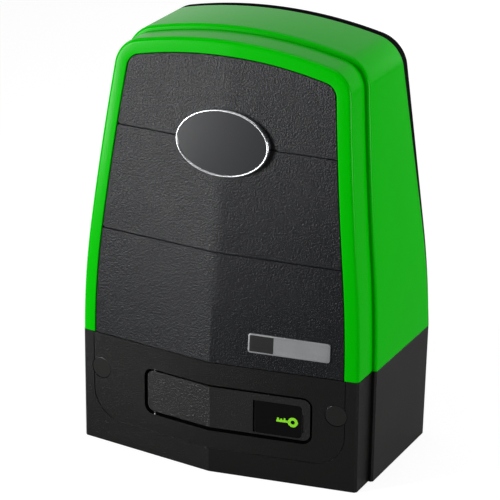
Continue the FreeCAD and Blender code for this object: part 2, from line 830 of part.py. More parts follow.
def make_foot_bolts():
    one = screw(6.0, 4.5, foot_bolt_r, foot_t + 3.5, socket=False)
    return Part.makeCompound([placed(one, (x, y, floor_t + foot_t), (0, 0, 1)) for x, y in foot_bolts()])


def bearing(size, at, axis):
    """A sealed ball bearing: two rings with a shield set back between them."""
    bore, ro, width = size
    step = (ro - bore) * 0.3
    inner, outer_wall = bore + step, ro - step
    profile = [(bore, 0), (inner, 0), (inner, 0.6), (outer_wall, 0.6), (outer_wall, 0), (ro, 0),
               (ro, width), (outer_wall, width), (outer_wall, width - 0.6), (inner, width - 0.6),
               (inner, width), (bore, width)]
    return turned(profile, at, axis)


def make_shaft_seal():
    bore, ro, _ = rear_bearing
    y = neck_end - seal_w
    profile = [(bore + running_gap, 0), (ro, 0), (ro, seal_w), (ro - 2, seal_w), (bore + 4, seal_w - 2),
               (bore + running_gap, seal_w - 1)]
    return turned(profile, (axis_x, y, axis_z), (0, 1, 0))


# Teeth

def involute(base_r, r):
    a = math.acos(min(1.0, base_r / r))
    return math.tan(a) - a


def gear_wire(m, teeth, root_r, play, y, turn):
    """A gear's outline in the plane at y: involute flanks as arcs, turned from +X towards +Z."""
    pitch_r, tip_r = m * teeth / 2, m * teeth / 2 + m
    base_r = pitch_r * math.cos(pressure)
    start_r = max(base_r, root_r)
    half_pitch = math.pi / (2 * teeth) - play / (2 * pitch_r) + involute(base_r, pitch_r)
    radii = (start_r, (start_r + tip_r) / 2, tip_r)
    halves = [half_pitch - involute(base_r, r) for r in radii]

    def at(r, a):
        return V(r * math.cos(a + turn), y, r * math.sin(a + turn))

    edges = []
    for k in range(teeth):
        a = 2 * math.pi * k / teeth
        up = [at(r, a - h) for r, h in zip(radii, halves)]
        down = [at(r, a + h) for r, h in zip(radii[::-1], halves[::-1])]
        foot_in, foot_out = at(root_r, a - halves[0] - root_ease), at(root_r, a + halves[0] + root_ease)
        next_in = at(root_r, a + 2 * math.pi / teeth - halves[0] - root_ease)
        edges += [Part.LineSegment(foot_in, up[0]).toShape(), Part.Arc(*up).toShape(),
                  Part.LineSegment(up[2], down[0]).toShape(), Part.Arc(*down).toShape(),
                  Part.LineSegment(down[2], foot_out).toShape(),
                  Part.LineSegment(foot_out, next_in).toShape()]
    return Part.Wire(edges)


def make_worm_wheel():
    slope = -module / 2 / worm_pitch_r / wheel_pitch_r
    half = wheel_width / 2
    wires = [gear_wire(module, wheel_teeth, wheel_root_r, backlash, y, slope * y) for y in (-half, half)]
    wheel = Part.makeLoft(wires, True, True)
    wheel.translate(V(axis_x, gear_y, axis_z))
    for y in (gear_y - half - 1, gear_y + half - web_depth):
        dish = rod_y(wheel_root_r - 5, y, y + web_depth + 1, axis_x, axis_z)
        wheel = wheel.cut(dish.cut(rod_y(sleeve_r + 2, -far, far, axis_x, axis_z)))
    wheel = wheel.fuse(dogs(gear_y - half - dog_h, gear_y - half + 1, 0))
    return wheel.cut(rod_y(rear_bearing[0] + running_gap, -far, far, axis_x, axis_z))


def dogs(y0, y1, start):
    """Ring of clutch teeth between two stations along the shaft."""
    pieces = []
    for k in range(dog_count):
        wedge = Part.makeCylinder(sleeve_r, y1 - y0, V(0, 0, 0), V(0, 1, 0), dog_angle)
        core = Part.makeCylinder(dog_inner_r, y1 - y0, V(0, 0, 0), V(0, 1, 0))
        wedge = wedge.cut(core)
        wedge.rotate(V(0, 0, 0), V(0, 1, 0), start + k * 360.0 / dog_count)
        wedge.translate(V(axis_x, y0, axis_z))
        pieces.append(wedge)
    return Part.makeCompound(pieces)


def splines(extra, y0, y1):
    w = spline_w / 2 + extra
    r = spline_r + extra
    bars = [block((axis_x - w, axis_x + w), (y0, y1), (axis_z - r, axis_z + r)),
            block((axis_x - r, axis_x + r), (y0, y1), (axis_z - w, axis_z + w))]
    return bars[0].fuse(bars[1])


def make_clutch_sleeve():
    rear = sleeve_rear
    front = rear - sleeve_length
    body = rod_y(sleeve_r, front, rear, axis_x, axis_z)
    groove = rod_y(sleeve_r + 1, groove_y[0], groove_y[1], axis_x, axis_z)
    body = body.cut(groove.cut(rod_y(sleeve_groove_r, -far, far, axis_x, axis_z)))
    start = 180.0 / dog_count
    teeth = dogs(rear - 1, gear_y - wheel_width / 2 - body_gap, start)
    body = body.fuse(teeth).removeSplitter()
    body = body.cut(rod_y(rear_bearing[0] + running_gap, -far, far, axis_x, axis_z))
    return body.cut(splines(0.1, front - 1, rear + 1))


def make_clutch_fork():
    y = (fork_front, fork_front + fork_t)
    ring = rod_y(fork_r, y[0], y[1], axis_x, axis_z)
    ring = ring.cut(rod_y(sleeve_groove_r + body_gap, -far, far, axis_x, axis_z))
    ring = ring.cut(block((axis_x + 2, far), (-far, far), (0, 2 * axis_z)))
    arm = block((release_x, axis_x - fork_r + 3), y, (release_z - 5, release_z + 5))
    hub = rod_y(release_r + 3.5, y[0], y[1] + 2, release_x, release_z)
    return join(ring, arm, hub).cut(rod_y(release_r, -far, far, release_x, release_z))


def make_release_rod():
    tip = skin_y(release_x, release_z) + leaf_recess + leaf_t + body_gap
    rod = rod_y(release_r, tip, fork_front + fork_t + 2, release_x, release_z)
    return rod.makeChamfer(0.8, [e for e in rod.Edges if e.BoundBox.YMax < tip + 0.1])


def make_output_shaft():
    bore = rear_bearing[0]
    rear_seat = neck_end - seal_w - rear_bearing[2]
    front_seat = bearing_front + front_bearing[2]
    shoulder = gear_y + wheel_width / 2 + body_gap
    end = pinion_start + pinion_width
    profile = [(0, bearing_front), (front_bearing[0], bearing_front), (front_bearing[0], front_seat),
               (bore, front_seat), (bore, shoulder), (spline_r, shoulder), (spline_r, rear_seat),
               (bore, rear_seat), (bore, pinion_start), (pinion_bore_r, pinion_start),
               (pinion_bore_r, end - 1), (pinion_bore_r - 1, end), (0, end)]
    shaft = turned(profile, (axis_x, 0, axis_z), (0, 1, 0))
    shaft = shaft.fuse(splines(0, front_seat + 1, sleeve_rear - 0.5)).removeSplitter()
    shaft = shaft.cut(key_block(0))
    return shaft.cut(rod_y(bolt_r, end - 18, end + 1, axis_x, axis_z))


def key_block(extra):
    half = key_size / 2
    return block((axis_x - half, axis_x + half), (pinion_start + 3, pinion_start + pinion_width - 3),
                 (axis_z + pinion_bore_r - half - extra, axis_z + pinion_bore_r + half + extra))


def make_pinion():
    root_r = pinion_module * (pinion_teeth / 2 - 1.25)
    wire = gear_wire(pinion_module, pinion_teeth, root_r, 0.2, pinion_start, math.pi / 2)
    gear = Part.Face(wire).extrude(V(0, pinion_width, 0))
    gear.translate(V(axis_x, 0, axis_z))
    recess = rod_y(root_r - 4, pinion_start + pinion_width - web_depth, far, axis_x, axis_z)
    gear = gear.cut(recess.cut(rod_y(washer_r + 1, 0, far, axis_x, axis_z)))
    gear = gear.cut(rod_y(pinion_bore_r, 0, far, axis_x, axis_z))
    return gear.cut(key_block(0))


def make_pinion_bolt():
    end = pinion_start + pinion_width
    washer = rod_y(washer_r, end, end + washer_t, axis_x, axis_z)
    head = placed(hexagon(bolt_head_r, 0, bolt_head_t), (axis_x, end + washer_t, axis_z), (0, 1, 0))
    return join(washer, head, rod_y(bolt_r, end - 16, end + 1, axis_x, axis_z))


def make_shaft_circlip():
    y = gear_y - wheel_width / 2 - 1.8
    ring = rod_y(dog_inner_r - 0.4, y, y + 1.5, axis_x, axis_z)
    ring = ring.cut(rod_y(rear_bearing[0], -far, far, axis_x, axis_z))
    return ring.cut(block((axis_x - 3, axis_x + 3), (-far, 0), (axis_z, axis_z + far)))


def make_worm_shaft():
    pitch = math.pi * module
    root_r = worm_pitch_r - module - tip_gap
    tip_r = worm_pitch_r + module
    start = axis_z - worm_turns / 2 * pitch
    upper = flange_top - upper_bearing[2]
    profile = [(0, lower_bearing_z), (lower_bearing[0], lower_bearing_z),
               (lower_bearing[0], lower_bearing_z + lower_bearing[2]),
               (root_r - 4, lower_bearing_z + lower_bearing[2]), (root_r - 4, worm_bottom),
               (root_r, worm_bottom),
               (root_r, upper), (upper_bearing[0], upper), (upper_bearing[0], flange_top + 1),
               (motor_shaft_r, flange_top + 1), (motor_shaft_r, can_top + 3), (cap_bore_r, can_top + 3),
               (cap_bore_r, can_top + cap_h - 4), (0, can_top + cap_h - 4)]
    shaft = turned(profile, (worm_x, gear_y, 0), (0, 0, 1))
    flank = math.tan(pressure)
    half = (pitch / 2 - backlash / 2) / 2
    sink = 1.0
    corners = [(root_r - sink, half + flank * (worm_pitch_r - root_r + sink)), (tip_r, half - flank * module)]
    points = [V(corners[0][0], 0, -corners[0][1]), V(corners[1][0], 0, -corners[1][1]),
              V(corners[1][0], 0, corners[1][1]), V(corners[0][0], 0, corners[0][1])]
    path = Part.makeHelix(pitch, worm_turns * pitch, worm_pitch_r)
    thread = Part.Wire(path).makePipeShell([Part.makePolygon(points + points[:1])], True, True)
    thread.translate(V(worm_x, gear_y, start))
    return shaft.fuse(thread)


# Motor

def make_motor_can():
    tube = rod_z(can_r, flange_top, can_top, worm_x, gear_y)
    tube = tube.fuse(motor_square(motor_half, flange_top, flange_top + 4))
    tube = tube.cut(rod_z(can_r - can_wall, flange_top + 4, can_top + 1, worm_x, gear_y))
    tube = tube.cut(rod_z(upper_bearing[0] + 1, flange_top - 1, flange_top + 5, worm_x, gear_y))
    for at in motor_screw_places():
        tube = tube.cut(rod_z(screw_r + 0.2, flange_top - 1, flange_top + 5, *at))
    return tube


def make_motor_magnets():
    inner = can_r - can_wall - magnet_t
    height = armature_z[1] - armature_z[0] + 4
    pieces = []
    for start in (-65, 115):
        sector = Part.makeCylinder(can_r - can_wall, height, V(0, 0, 0), V(0, 0, 1), 130)
        sector = sector.cut(Part.makeCylinder(inner, height))
        sector.rotate(V(0, 0, 0), V(0, 0, 1), start)
        sector.translate(V(worm_x, gear_y, armature_z[0] - 2))
        pieces.append(sector)
    return Part.makeCompound(pieces)


def make_armature():
    stack = rod_z(armature_r, armature_z[0], armature_z[1], worm_x, gear_y)
    for k in range(armature_slots):
        slot = block((armature_r - 8, armature_r + 1), (-1.1, 1.1), armature_z)
        slot.rotate(V(0, 0, 0), V(0, 0, 1), k * 360.0 / armature_slots)
        slot.translate(V(worm_x, gear_y, 0))
        stack = stack.cut(slot)
    return stack.cut(rod_z(motor_shaft_r, 0, far * 2, worm_x, gear_y))


def make_armature_windings():
    r = armature_r - 3
    low, high = armature_z
    under = [(motor_shaft_r, low - 8), (r - 3, low - 8), (r, low - 5), (r, low), (motor_shaft_r, low)]
    over = [(motor_shaft_r, high), (r, high), (r, high + 3), (r - 3, high + 6), (motor_shaft_r, high + 6)]
    return Part.makeCompound([turned(profile, (worm_x, gear_y, 0), (0, 0, 1)) for profile in (under, over)])


def make_commutator():
    ring = rod_z(commutator_r, commutator_z[0], commutator_z[1], worm_x, gear_y)
    for k in range(armature_slots):
        slot = block((commutator_r - 1.2, commutator_r + 1), (-0.4, 0.4), commutator_z)
        slot.rotate(V(0, 0, 0), V(0, 0, 1), (k + 0.5) * 360.0 / armature_slots)
        slot.translate(V(worm_x, gear_y, 0))
        ring = ring.cut(slot)
    return ring.cut(rod_z(motor_shaft_r, 0, far * 2, worm_x, gear_y))


def brush_block(half, near, deep, z0, z1):
    pieces = []
    for side in (-1, 1):
        x = sorted((worm_x + side * near, worm_x + side * deep))
        pieces.append(block(x, (gear_y - half, gear_y + half), (z0, z1)))
    return pieces


def make_brush_plate():
    plate = rod_z(can_r, can_top, can_top + brush_plate_t, worm_x, gear_y)
    z = (commutator_z[0] + 1, can_top)
    holders = brush_block(5.5, commutator_r + 3, can_r - can_wall - 2, z[0], z[1] + 1)
    plate = join(plate, *holders)
    for brush in brush_block(3.5, commutator_r + body_gap, can_r - can_wall - 4, z[0] + 2, z[1] - 2):
        plate = plate.cut(brush)
    return plate.cut(rod_z(motor_shaft_r + 2, 0, far * 2, worm_x, gear_y))


def make_motor_brushes():
    z = (commutator_z[0] + 3, can_top - 2)
    return Part.makeCompound(brush_block(3.5, commutator_r + body_gap, can_r - can_wall - 4, *z))


def make_motor_end_cap():
    low, high = can_top + brush_plate_t, can_top + cap_h
    bore = cap_bore_r + running_gap
    profile = [(can_r - 3, low), (can_r, low), (can_r, high - 5), (can_r - 2, high - 1.5), (can_r - 6, high),
               (0, high), (0, high - 3), (bore, high - 3), (bore, high - 6), (can_r - 6, high - 6),
               (can_r - 3, high - 9)]
    return turned(profile, (worm_x, gear_y, 0), (0, 0, 1))


def make_motor_screws():
    one = screw(screw_head_r, screw_head_t, screw_r, 12)
    places = [(x, y, flange_top + 4) for x, y in motor_screw_places()]
    return Part.makeCompound([placed(one, at, (0, 0, 1)) for at in places])


# Deck, battery and controller

def make_deck():
    top = deck_z + deck_t
    plate = casing(cover_wall + fascia_t + deck_gap, behind_shell(-panel_lip - deck_gap))
    plate = plate.common(block((-far, far), (-far, far), (deck_z, top)))
    posts = [rod_z(post_r, floor_t, top, x * post_at[0], y * post_at[1]) for x in (-1, 1) for y in (-1, 1)]
    x = (battery_x[0] - body_gap, battery_x[1] + body_gap)
    y = (battery_y[0] - body_gap, battery_y[1] + body_gap)
    rim = block((x[0] - 2, x[1] + 2), (y[0] - 2, y[1] + 2), (deck_z, top + 6))
    rim = rim.cut(block(x, y, (top, top + 9)))
    for at in (battery_y[0] + 15, battery_y[1] - 15 - strap_w):
        rim = rim.cut(block((x[0] - 9, x[1] + 9), (at, at + strap_w), (top, top + 9)))
    rim = rim.cut(block(strap_span(1), (-far, far), (top, top + 9)))
    deck = join(plate, *posts, rim.common(block((-far, far), (-far, far), (deck_z, top + 6))))
    return deck.cut(motor_square(motor_half + 2, deck_z - 1, top + 1))


def strap_span(extra):
    middle = (battery_x[0] + battery_x[1]) / 2
    return middle - strap_w / 2 - extra, middle + strap_w / 2 + extra


def make_battery():
    case = block(battery_x, battery_y, (battery_z, battery_z + battery_h))
    case = case.makeFillet(3, [e for e in case.Edges if e.BoundBox.ZLength > 1])
    z = battery_z + battery_h - 14
    seam = block((battery_x[0] - 1, battery_x[1] + 1), (battery_y[0] - 1, battery_y[1] + 1), (z, z + 1.2))
    core = block((battery_x[0] + 1, battery_x[1] - 1), (battery_y[0] + 1, battery_y[1] - 1), (z - 1, z + 3))
    return case.cut(seam.cut(core))


def make_battery_terminals():
    z = battery_z + battery_h
    x = battery_x[1] - 12
    tab = block((x, x + 6.3), (battery_y[0] + 12, battery_y[0] + 12.8), (z, z + 7))
    foot = block((x, x + 6.3), (battery_y[0] + 8, battery_y[0] + 12.8), (z, z + 0.8))
    one = join(tab, foot)
    other = one.copy()
    other.translate(V(0, battery_y[1] - battery_y[0] - 24, 0))
    return Part.makeCompound([one, other])


def make_battery_strap():
    x = strap_span(0)
    z = battery_z + battery_h
    band = block(x, (battery_y[0] - strap_t, battery_y[1] + strap_t), (battery_z, z + strap_t))
    return band.cut(block((x[0] - 1, x[1] + 1), battery_y, (0, z)))


def make_controller_bracket():
    x0, x1 = bracket_x
    t = bracket_t
    top = bracket_z + t
    frame = block((x0, x1), bracket_y, (battery_z, top))
    frame = frame.cut(block((x0 + t, x1 - t), (-far, far), (0, bracket_z)))
    feet = [block((x0, x0 + 12), bracket_y, (battery_z, battery_z + t)),
            block((x1 - t, x1 + 10), bracket_y, (battery_z, battery_z + t))]
    bracket = join(frame, *feet)
    low, high = battery_z + window_margins[0], bracket_z - window_margins[1]
    return bracket.cut(block((x0 - 1, x1 + 1), (bracket_y[0] + 12, bracket_y[1] - 12), (low, high)))


def controller_span():
    return controller_x, controller_y, (controller_z, controller_z + controller_h)


def make_controller_case():
    x, y, z = controller_span()
    t = controller_wall
    case = block(x, y, z)
    case = case.makeFillet(2, [e for e in case.Edges if e.BoundBox.YLength > 5])
    case = case.cut(block((x[0] + t, x[1] - t), (y[0] - 1, y[1] - t), (z[0] + t, z[1] - t)))
    places = [(px, pz) for px in (x[0] + 9, x[1] - 9) for pz in (z[0] + 9, z[1] - 9)]
    return join(case, *[rod_y(3, board_y, y[1] - 1, *at) for at in places])


def button_xs():
    return [controller_x[1] - inset for inset in button_insets]


def make_controller_board():
    x, y, z = controller_span()
    board = block((x[0] + 4, x[1] - 4), (board_y - board_t, board_y), (z[0] + 4, z[1] - 4))
    near = board_y - board_t
    places = [(bx - 3, bx + 3) for bx in button_xs()]
    switches = [block(place, (near - switch_t, near + 0.5), (button_z - 3, button_z + 3)) for place in places]
    return join(board, *switches)


def make_controller_lid():
    x, y, z = controller_span()
    lid = block(x, (y[0] - controller_wall, y[0]), (z[0] + terminal_h + 2, z[1]))
    lid = lid.makeFillet(2, [e for e in lid.Edges if e.BoundBox.YLength > 1 and e.BoundBox.ZMin > z[1] - 1])
    lid = lid.cut(block(display_x, (-far, 0), display_z))
    for bx in button_xs():
        lid = lid.cut(rod_y(button_r + 0.15, -far, 0, bx, button_z))
    return lid


def make_display():
    front = controller_y[0] - controller_wall + 0.3
    return block(display_x, (front, board_y - board_t), display_z)


def make_terminal_blocks():
    x, y, z = controller_span()
    body = block((x[0] + 6, x[1] - 6), (y[0], board_y - board_t), (z[0] + 4, z[0] + terminal_h))
    ways = 11
    pitch = (x[1] - x[0] - 12) / ways
    for k in range(ways):
        cx = x[0] + 6 + pitch * (k + 0.5)
        body = body.cut(block((cx - 2.2, cx + 2.2), (y[0] - 1, y[0] + 5), (z[0] + 6, z[0] + 11)))
    return body


def make_button(bx):
    front = controller_y[0] - controller_wall
    inner = controller_y[0] + body_gap
    stem_end = board_y - board_t - switch_t - body_gap - button_travel
    face = front - button_proud
    profile = [(0, face), (button_r - 0.4, face), (button_r, face + 0.4), (button_r, inner),
               (button_r + 1.2, inner), (button_r + 1.2, inner + 1), (1.8, inner + 1), (1.8, stem_end),
               (0, stem_end)]
    return turned(profile, (bx, 0, button_z), (0, 1, 0))


lip = seam_lip()
pinion_start = neck_end + pinion_gap

parts = {
    "cover_shell": make_cover_shell(),
    "fascia": make_fascia(),
    "rear_panel": make_rear_panel(),
    "oval_badge": make_oval_badge(),
    "badge_rim": make_badge_rim(),
    "model_plate": make_model_plate(),
    "base_front": make_base_front(),
    "side_plugs": make_side_plugs(),
    "front_screws": make_front_screws(),
    "door_hinge_pin": make_door_hinge_pin(),
    "release_door": make_release_door(),
    "flap_pin": make_flap_pin(),
    "key_flap": make_key_flap(),
    "lock_barrel": make_lock_barrel(),
    "lock_cam": make_lock_cam(),
    "base_housing": make_base_housing(),
    "cable_grommet": make_cable_grommet(),
    "gearbox_case": make_gearbox_case(),
    "gearbox_gasket": make_gearbox_gasket(),
    "gearbox_cover": make_gearbox_cover(),
    "gearbox_screws": make_gearbox_screws(),
    "foot_bolts": make_foot_bolts(),
    "front_bearing": bearing(front_bearing, (axis_x, bearing_front, axis_z), (0, 1, 0)),
    "rear_bearing": bearing(rear_bearing, (axis_x, neck_end - seal_w - rear_bearing[2], axis_z), (0, 1, 0)),
    "worm_lower_bearing": bearing(lower_bearing, (worm_x, gear_y, lower_bearing_z), (0, 0, 1)),
    "worm_upper_bearing": bearing(upper_bearing, (worm_x, gear_y, flange_top - upper_bearing[2]), (0, 0, 1)),
    "shaft_seal": make_shaft_seal(),
    "worm_wheel": make_worm_wheel(),
    "clutch_sleeve": make_clutch_sleeve(),
    "clutch_fork": make_clutch_fork(),
    "release_rod": make_release_rod(),
    "output_shaft": make_output_shaft(),
    "pinion_key": key_block(0),
    "pinion": make_pinion(),
    "pinion_bolt": make_pinion_bolt(),
    "shaft_circlip": make_shaft_circlip(),
    "worm_shaft": make_worm_shaft(),
    "motor_can": make_motor_can(),
    "motor_magnets": make_motor_magnets(),
    "armature": make_armature(),
    "armature_windings": make_armature_windings(),
    "commutator": make_commutator(),
    "brush_plate": make_brush_plate(),
    "motor_brushes": make_motor_brushes(),
    "motor_end_cap": make_motor_end_cap(),
    "motor_screws": make_motor_screws(),
    "deck": make_deck(),
    "battery": make_battery(),
    "battery_terminals": make_battery_terminals(),
    "battery_strap": make_battery_strap(),
    "controller_bracket": make_controller_bracket(),
    "controller_case": make_controller_case(),
    "controller_board": make_controller_board(),
    "controller_lid": make_controller_lid(),
    "display": make_display(),
    "terminal_blocks": make_terminal_blocks(),
    "menu_button": make_button(button_xs()[0]),
    "down_button": make_button(button_xs()[1]),
    "up_button": make_button(button_xs()[2]),
}

os.makedirs("parts", exist_ok=True)
for name, shape in parts.items():
    shape.exportStep("parts/" + name + ".step")
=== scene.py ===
import bpy
import bmesh
import json
import math
import numpy as np
from mathutils import Matrix, Vector


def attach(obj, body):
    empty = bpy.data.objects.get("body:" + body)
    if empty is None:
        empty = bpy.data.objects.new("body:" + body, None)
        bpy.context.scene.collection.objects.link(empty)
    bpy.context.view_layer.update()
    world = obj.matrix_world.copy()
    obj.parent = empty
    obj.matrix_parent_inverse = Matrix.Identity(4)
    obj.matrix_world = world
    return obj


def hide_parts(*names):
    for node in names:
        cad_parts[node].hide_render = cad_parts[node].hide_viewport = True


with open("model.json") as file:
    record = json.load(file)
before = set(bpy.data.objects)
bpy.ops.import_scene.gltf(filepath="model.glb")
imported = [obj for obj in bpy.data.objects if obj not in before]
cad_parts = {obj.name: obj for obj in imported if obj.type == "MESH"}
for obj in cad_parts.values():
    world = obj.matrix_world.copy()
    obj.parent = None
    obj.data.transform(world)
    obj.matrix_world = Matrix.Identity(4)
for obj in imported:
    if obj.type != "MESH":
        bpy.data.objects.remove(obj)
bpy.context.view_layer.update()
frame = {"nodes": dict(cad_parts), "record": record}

# Sizes of the casing, in millimetres
half_width = 118.0
seam_z = 92.5
apex_z = 340.0
crown_r = 360.0
corner_r = 23.0
side_lean = math.radians(6.4)
bend_run = 44.0
crease_y = -96.5
prow = 16.5
crease_lean = (11.5, 33.3)
frame_lean = (3.8, 18.4)
step_y = -53.7
step_out = 3.5
rear_y = 52.8
rear_lean = 29.2
panel_edge = 0.8
panel_lean = 8.9
tuck_front = 2.5
far = 160.0  # how far out from the crease the front's outer lean is taken
cover_foot = 92.8
wall = 3.0
opening = 11.3
fascia_inset = 11.7
fascia_recess = 0.6
groove_heights = (181.0, 264.7)
badge_half = (38.7, 25.2)
plate_at = (63.0, 113.5)
plate_size = (64.5, 15.5)

# Roundings and small steps, in millimetres
lip_r = 0.9
edge_r = 3.0
shoulder_r = 2.5
panel_corner_r = 1.6
panel_t = 2.5
panel_rib = 5.0
fascia_edge_r = 0.5
flange_width = 5.5
groove_half = (0.5, 1.0)  # half-width at the floor and at the mouth
groove_depth = 1.1
badge_rim_width = 1.8
badge_rim_r = 0.85
badge_dome = 0.5
seat_depth = 0.15
plate_t = 1.0
key_height = (1.3, 1.47)  # depth of the sign's face and of its foot behind the front skin

# Smallest distances in metres, and angles in degrees, for the mesh work
weld = 2e-6
sliver = 1e-6
flat_angle = 0.4
bevel_from = 30
sharp_from = 24.0


# Skins: how far back each lies at a place seen from the front

def lean_back(z, lean):
    """The circle through nothing at the seam, lean[0] half-way up and lean[1] at the apex; nothing leans below
    the seam."""
    h = (apex_z - seam_z) / 2
    k = (lean[1] ** 2 + 4 * h * h) / (2 * h)
    m = (lean[0] ** 2 + h * h) / h
    centre_y = (k - m) / ((lean[1] - 2 * lean[0]) / h)
    centre_z = (m - 2 * lean[0] * centre_y / h) / 2
    u = np.maximum(z - seam_z, 0.0)
    return centre_y - np.sqrt(centre_y ** 2 + centre_z ** 2 - (u - centre_z) ** 2)


def front_skin(x, z):
    """The creased front: at every height a straight line from the crease to the side, both ends leaning
    back, and below the seam a straight tuck."""
    share = np.abs(x) / far
    side = tuple(a + far / half_width * (b - a) for a, b in zip(crease_lean, frame_lean))
    lean = (1 - share) * lean_back(z, crease_lean) + share * lean_back(z, side)
    tuck = tuck_front * np.maximum(seam_z - z, 0.0) / seam_z
    return crease_y + prow * np.abs(x) / half_width + lean + tuck


def step_skin(x, z):
    """The face of the step: a plane bent back like the casing's side."""
    return step_y + lean_back(z, frame_lean)


def back_skin(x, z):
    """The plane in which the shell ends and the back panel begins; it leans forwards."""
    return rear_y - rear_lean * (z - seam_z) / (apex_z - seam_z)


def panel_skin(x, z):
    """The back panel's rear plane, which leans forwards less."""
    return rear_y + panel_edge + (panel_lean - rear_lean) * (z - seam_z) / (apex_z - seam_z)


def badge_skin(x, z):
    """A flat plane that leans with the crease at the badge."""
    middle, half = groove_heights[1], badge_half[1]
    low, high = (crease_y + lean_back(middle + s * half, crease_lean) for s in (-1, 1))
    return (low + high) / 2 + (high - low) * (z - middle) / (2 * half)


# Meshes

def quads(rows, columns, close_rows=False, close_columns=False):
    """Faces between neighbouring rows and columns of a grid of points."""
    i = np.arange(rows if close_rows else rows - 1)[:, None]
    j = np.arange(columns if close_columns else columns - 1)[None, :]
    below, right = (i + 1) % rows, (j + 1) % columns
    corners = [i * columns + j, below * columns + j, below * columns + right, i * columns + right]
    return np.stack(np.broadcast_arrays(*corners), -1).reshape(-1, 4)


def sheet(grid, **closing):
    """A grid of points with its faces, as one patch of a piece."""
    return grid, quads(*grid.shape[:2], **closing)


def make_piece(name, body, material, patches, sharp=sharp_from, nodes=()):
    """One piece out of patches of (points in millimetres, faces): they are merged where they meet."""
    points, faces, count = [], [], 0
    for co, quad in patches:
        co = np.asarray(co, float).reshape(-1, 3)
        points.append(co)
        faces += [[int(k) + count for k in face] for face in quad]
        count += len(co)
    mesh = bpy.data.meshes.new(name)
    mesh.from_pydata((np.concatenate(points) / 1000).tolist(), [], faces)
    joined = bmesh.new()
    joined.from_mesh(mesh)
    bmesh.ops.remove_doubles(joined, verts=joined.verts, dist=weld)
    bmesh.ops.dissolve_degenerate(joined, edges=joined.edges, dist=sliver)
    bmesh.ops.recalc_face_normals(joined, faces=joined.faces)
    joined.to_mesh(mesh)
    joined.free()
    return finish_piece(mesh, name, body, material, sharp, nodes)


def finish_piece(mesh, name, body, material, sharp, nodes):
    """Shade, dress and place a mesh: it rides on a body and stands for the CAD nodes that it replaces."""
    mesh.shade_smooth()
    mesh.set_sharp_from_angle(angle=math.radians(sharp))
    mesh.materials.clear()
    mesh.materials.append(material)
    piece = bpy.data.objects.new(name, mesh)
    bpy.context.scene.collection.objects.link(piece)
    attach(piece, body)
    if nodes:
        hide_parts(*nodes)
    return piece


def eased(node, name, body, material, width, segments=2):
    """A copy of a CAD node's mesh: merged, its flat faces made whole, its edges rounded by a live bevel."""
    mesh = frame["nodes"][node].data.copy()
    mesh.name = name
    joined = bmesh.new()
    joined.from_mesh(mesh)
    bmesh.ops.remove_doubles(joined, verts=joined.verts, dist=weld)
    bmesh.ops.dissolve_limit(
        joined, angle_limit=math.radians(flat_angle), verts=joined.verts, edges=joined.edges)
    joined.to_mesh(mesh)
    joined.free()
    piece = finish_piece(mesh, name, body, material, sharp_from, (node,))
    bevel = piece.modifiers.new("edge", "BEVEL")
    bevel.width = width / 1000
    bevel.segments = segments
    bevel.limit_method = "ANGLE"
    bevel.angle_limit = math.radians(bevel_from)
    bevel.miter_outer = "MITER_ARC"
    bevel.harden_normals = True
    evened = piece.modifiers.new("evened", "WEIGHTED_NORMAL")
    evened.weight = 100
    evened.keep_sharp = True
    return piece


def quarter(centre, radius, start, stop, steps=8):
    """Points (offset, depth) of an arc; 0 degrees is outwards and 90 degrees is backwards."""
    a = np.radians(np.linspace(start, stop, steps + 1))
    return [(centre[0] + radius * math.cos(t), centre[1] + radius * math.sin(t)) for t in a]


def casing_path(foot):
    """The casing's outline from the right foot over the crown to the left foot, with outward normals: an arc
    that bends it inwards, a leaning line, the corner's arc and the crown's arc, then the same mirrored."""
    bend_r = bend_run / math.tan(side_lean / 2)
    bend_x = half_width - bend_r
    out = np.array([math.cos(side_lean), math.sin(side_lean)])
    up = np.array([-math.sin(side_lean), math.cos(side_lean)])
    knee = np.array([bend_x, seam_z]) + out * bend_r
    crown = np.array([0.0, apex_z - crown_r])
    reach = knee - out * corner_r - crown
    along = reach @ up
    run = math.sqrt(along ** 2 - reach @ reach + (crown_r - corner_r) ** 2) - along
    corner = knee - out * corner_r + up * run
    turn = math.atan2(corner[1] - crown[1], corner[0] - crown[0])
    low = math.asin((foot - seam_z) / bend_r)
    bend_a = np.linspace(low, side_lean, 12)
    line_t = np.linspace(0, 1, 20)[1:-1, None]
    corner_a = np.linspace(side_lean, turn, 28)
    crown_a = np.linspace(turn, math.pi / 2, 18)[1:]

    def arc(centre, radius, angles):
        unit = np.stack([np.cos(angles), np.sin(angles)], -1)
        return centre + radius * unit, unit

    pieces = [arc(np.array([bend_x, seam_z]), bend_r, bend_a),
              (knee + up * run * line_t, np.repeat(out[None], len(line_t), 0)),
              arc(corner, corner_r, corner_a), arc(crown, crown_r, crown_a)]
    points = np.concatenate([p for p, _ in pieces])
    normals = np.concatenate([n for _, n in pieces])
    flip = np.array([-1.0, 1.0])
    return tuple(np.concatenate([half, half[-2::-1] * flip]) for half in (points, normals))


def swept(path, normals, profile):
    """A profile carried along a path: point (i, j) is path point i moved out by profile offset j, and it lies
    as far back as the skin that profile point j names, plus its depth."""
    grid = np.zeros((len(path), len(profile), 3))
    for j, (skin, off, depth) in enumerate(profile):
        flat = path + normals * off
        grid[:, j, 0], grid[:, j, 2] = flat[:, 0], flat[:, 1]
        grid[:, j, 1] = skin(flat[:, 0], flat[:, 1]) + depth
    return grid


def on(skin, pairs):
    """Profile points (offset, depth) that are measured from one skin."""
    return [(skin, off, depth) for off, depth in pairs]


# Shaders

def nodes_of(material):
    """The emptied node tree of a material or a world."""
    material.use_nodes = True
    tree = material.node_tree
    tree.nodes.clear()
    return tree


